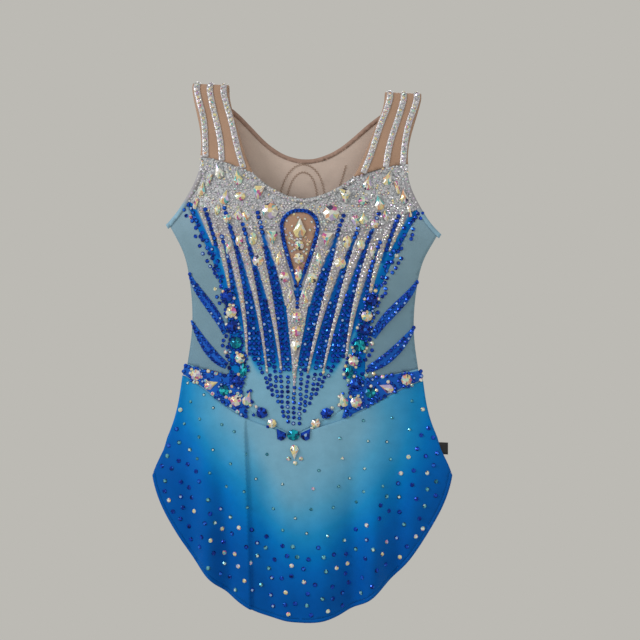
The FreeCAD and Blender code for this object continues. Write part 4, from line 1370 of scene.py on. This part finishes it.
def yoke_of_stones(setting):
    """Close-set crystals on the yoke and down between the tops of the blades."""
    silver = {"crystal": 0.78, "rainbow": 0.22}
    setting.fill(outlines("neck_binding_front"), (3.1, 1.5), EDGING_LIFT + ON_CLOTH, silver, 0.1, 0.4, -0.3)
    setting.fill(outlines("front_yoke"), (3.3, 1.6), ON_CLOTH, silver, 0.16, 0.2, -0.3)
    levels = np.arange(-137, -178, -2) * MM
    rim = bodice_edge(levels) - 10 * MM
    top = np.vstack([np.column_stack([rim, levels])[::-1], np.column_stack([-rim, levels])])
    top = top if loop_area(top) > 0 else top[::-1]
    found = setting.scatter.fill([top], 3.3 * MM, 1.6 * MM, 0.16, 0.2, -0.3 * MM)
    keyhole = outlines("keyhole_inset")
    within = [inside([place[:2]], keyhole)[0] for place in found]
    around = [place for place, hole in zip(found, within)
              if not hole and in_bands(np.array([place[:2]]))[0] < 0.5]
    setting.add(around, ON_CLOTH, silver)
    setting.add([place for place, hole in zip(found, within) if hole][::3], ON_CLOTH, SILVER_MIX)
    setting.fill(keyhole, (4.4, 1.75), ON_CLOTH, SILVER_MIX, 0.25, 1.0, -0.15, keep=0.9)


def chain_beads(setting):
    """Small stones between the large ones of the chain that hangs from belt to belt."""
    for _, side in SIDES:
        path = [(side * 58 * MM, -352 * MM), (side * 47 * MM, -368 * MM), (side * 30 * MM, -386 * MM),
                (side * 20 * MM, -396 * MM), (side * 8 * MM, -410 * MM)]
        setting.row(path, (3.6, 1.9), ON_CLOTH, {"sapphire": 0.45, "rainbow": 0.55}, wobble=2.6, gap=0.2)


def strap_stones(setting, side):
    """A column of crystals on each tape, with finer ones beside it."""
    for place in TAPES:
        loop = tape_outline(side, place)
        levels = np.arange(loop[:, 1].min() + 2 * MM, loop[:, 1].max() - 1.5 * MM, 1.1 * MM)
        left, right = edge(loop, levels, min, 2 * MM), edge(loop, levels, max, 2 * MM)
        for first, share, radius in ((0, 0.5, 2.1), (2, 0.2, 1.0), (2, 0.8, 1.0)):
            path = np.column_stack([left + (right - left) * share, levels])[first:]
            setting.row(path, (5.0, radius), ON_TRIM, SILVER_MIX, wobble=0.08, gap=-0.9)


SKIRT_STONES_TOP, SKIRT_TRIES = -0.345, 3000


def skirt_stones(setting, outline):
    """Scattered stones: close together low down and at the sides, few and pale in the middle."""
    spots = rng.uniform(outline.min(0), outline.max(0), (SKIRT_TRIES, 2))
    spots = spots[inside(spots, [outline])]
    spots = spots[edge_distance(spots, [outline]) > 4 * MM]
    for u, v in spots:
        blue = depth_of_blue(u, v)
        apart = 30 * MM if blue < 0.55 else 16 * MM if blue < 1 else 6.2 * MM
        radius = (1.9 if blue < 1 else 2.6) * MM
        odds = {"aqua": 0.9, "rainbow": 0.1} if blue < 1 else {"sapphire": 0.6, "rainbow": 0.24, "aqua": 0.16}
        if v <= SKIRT_STONES_TOP and setting.scatter.put(u, v, radius, apart):
            setting.add([(u, v, radius)], ON_CLOTH, odds)


# ---------------------------------------------------------------- the garment


front_panels, back_panels = body_panels()
edging = edgings()
trims = applied_trims()
straps = strap_pieces()
gusset_pieces()
care_label()
skirt_sheets = skirt_pieces()
threads = seams()

declare(front_panels["front_yoke"])
declare(front_panels["keyhole_inset"])
declare(front_panels["front_bodice"])
declare(front_panels["brief_front"])
declare(back_panels["back_upper"])
declare(back_panels["back_lower"])
declare(back_panels["brief_back"])
for side, _ in SIDES:
    declare(front_panels["side_net_front_" + side])
    declare(back_panels["side_net_back_" + side])
    declare(straps[side][0])

body_setting = Setting("body", FRONT, TORSO)
skirt_setting = Setting("skirt", SKIRT_FRONT, FRONT_PANEL)
skirt_back_setting = Setting("skirt_back", SKIRT_BACK, BACK_PANEL)
set_large_stones(body_setting.scatter, skirt_setting.scatter)
chain_beads(skirt_setting)
for dress in (ring_stones, trims_of_stones, fan_of_stones, bodice_border, yoke_of_stones):
    dress(body_setting)
for setting, sheet in zip((skirt_setting, skirt_back_setting), skirt_sheets):
    skirt_stones(setting, sheet)
for setting in (body_setting, skirt_setting, skirt_back_setting):
    setting.finish()
for side, _ in SIDES:
    strap_setting = Setting("strap_" + side, STRAPS[side], TORSO)
    strap_stones(strap_setting, side)
    strap_setting.finish()

# ---------------------------------------------------------------- camera, light and floor

CAMERA_PLACE = (0.0207, -1.05, -0.270)
CAMERA_LENS, CAMERA_SENSOR = 50.4, 36
ROOM, FLOOR = linear(188, 186, 180), linear(222, 220, 214)
# Name, place, size and power of each light.
LIGHTS = (("window", (-1.7, -1.0, 0.5), 0.9, 17), ("fill", (1.3, -1.3, 0.2), 1.2, 2),
          ("behind", (0.2, 1.6, 0.8), 1.2, 8))


def area_light(name, place, size, power):
    """A round light that points at the garment's middle."""
    light = bpy.data.lights.new(name, "AREA")
    light.shape, light.size, light.energy = "DISK", size, power
    lamp = bpy.data.objects.new(name, light)
    lamp.location = place
    middle = (CAD_BOX[0] + CAD_BOX[1]) / 2
    lamp.rotation_euler = (middle - lamp.location).to_track_quat("-Z", "Y").to_euler()
    bpy.context.scene.collection.objects.link(lamp)


def studio():
    scene = bpy.context.scene
    camera = bpy.data.objects.new("camera", bpy.data.cameras.new("camera"))
    camera.location = CAMERA_PLACE
    camera.rotation_euler = (math.pi / 2, 0, 0)
    camera.data.lens, camera.data.sensor_width = CAMERA_LENS, CAMERA_SENSOR
    scene.collection.objects.link(camera)
    scene.camera = camera
    world = bpy.data.worlds.new("room")
    world.use_nodes = True
    world.node_tree.nodes["Background"].inputs["Color"].default_value = (*ROOM, 1)
    scene.world = world
    scene.view_settings.view_transform = "Standard"
    for light in LIGHTS:
        area_light(*light)
    bpy.ops.mesh.primitive_circle_add(vertices=96, radius=4.5, fill_type="NGON", location=(0, 0, -2.4))
    floor = bpy.context.object
    floor.name = "floor"
    floor.data.materials.append(Shader("floor_paint", tuple(FLOOR), Roughness=0.8).material)


studio()
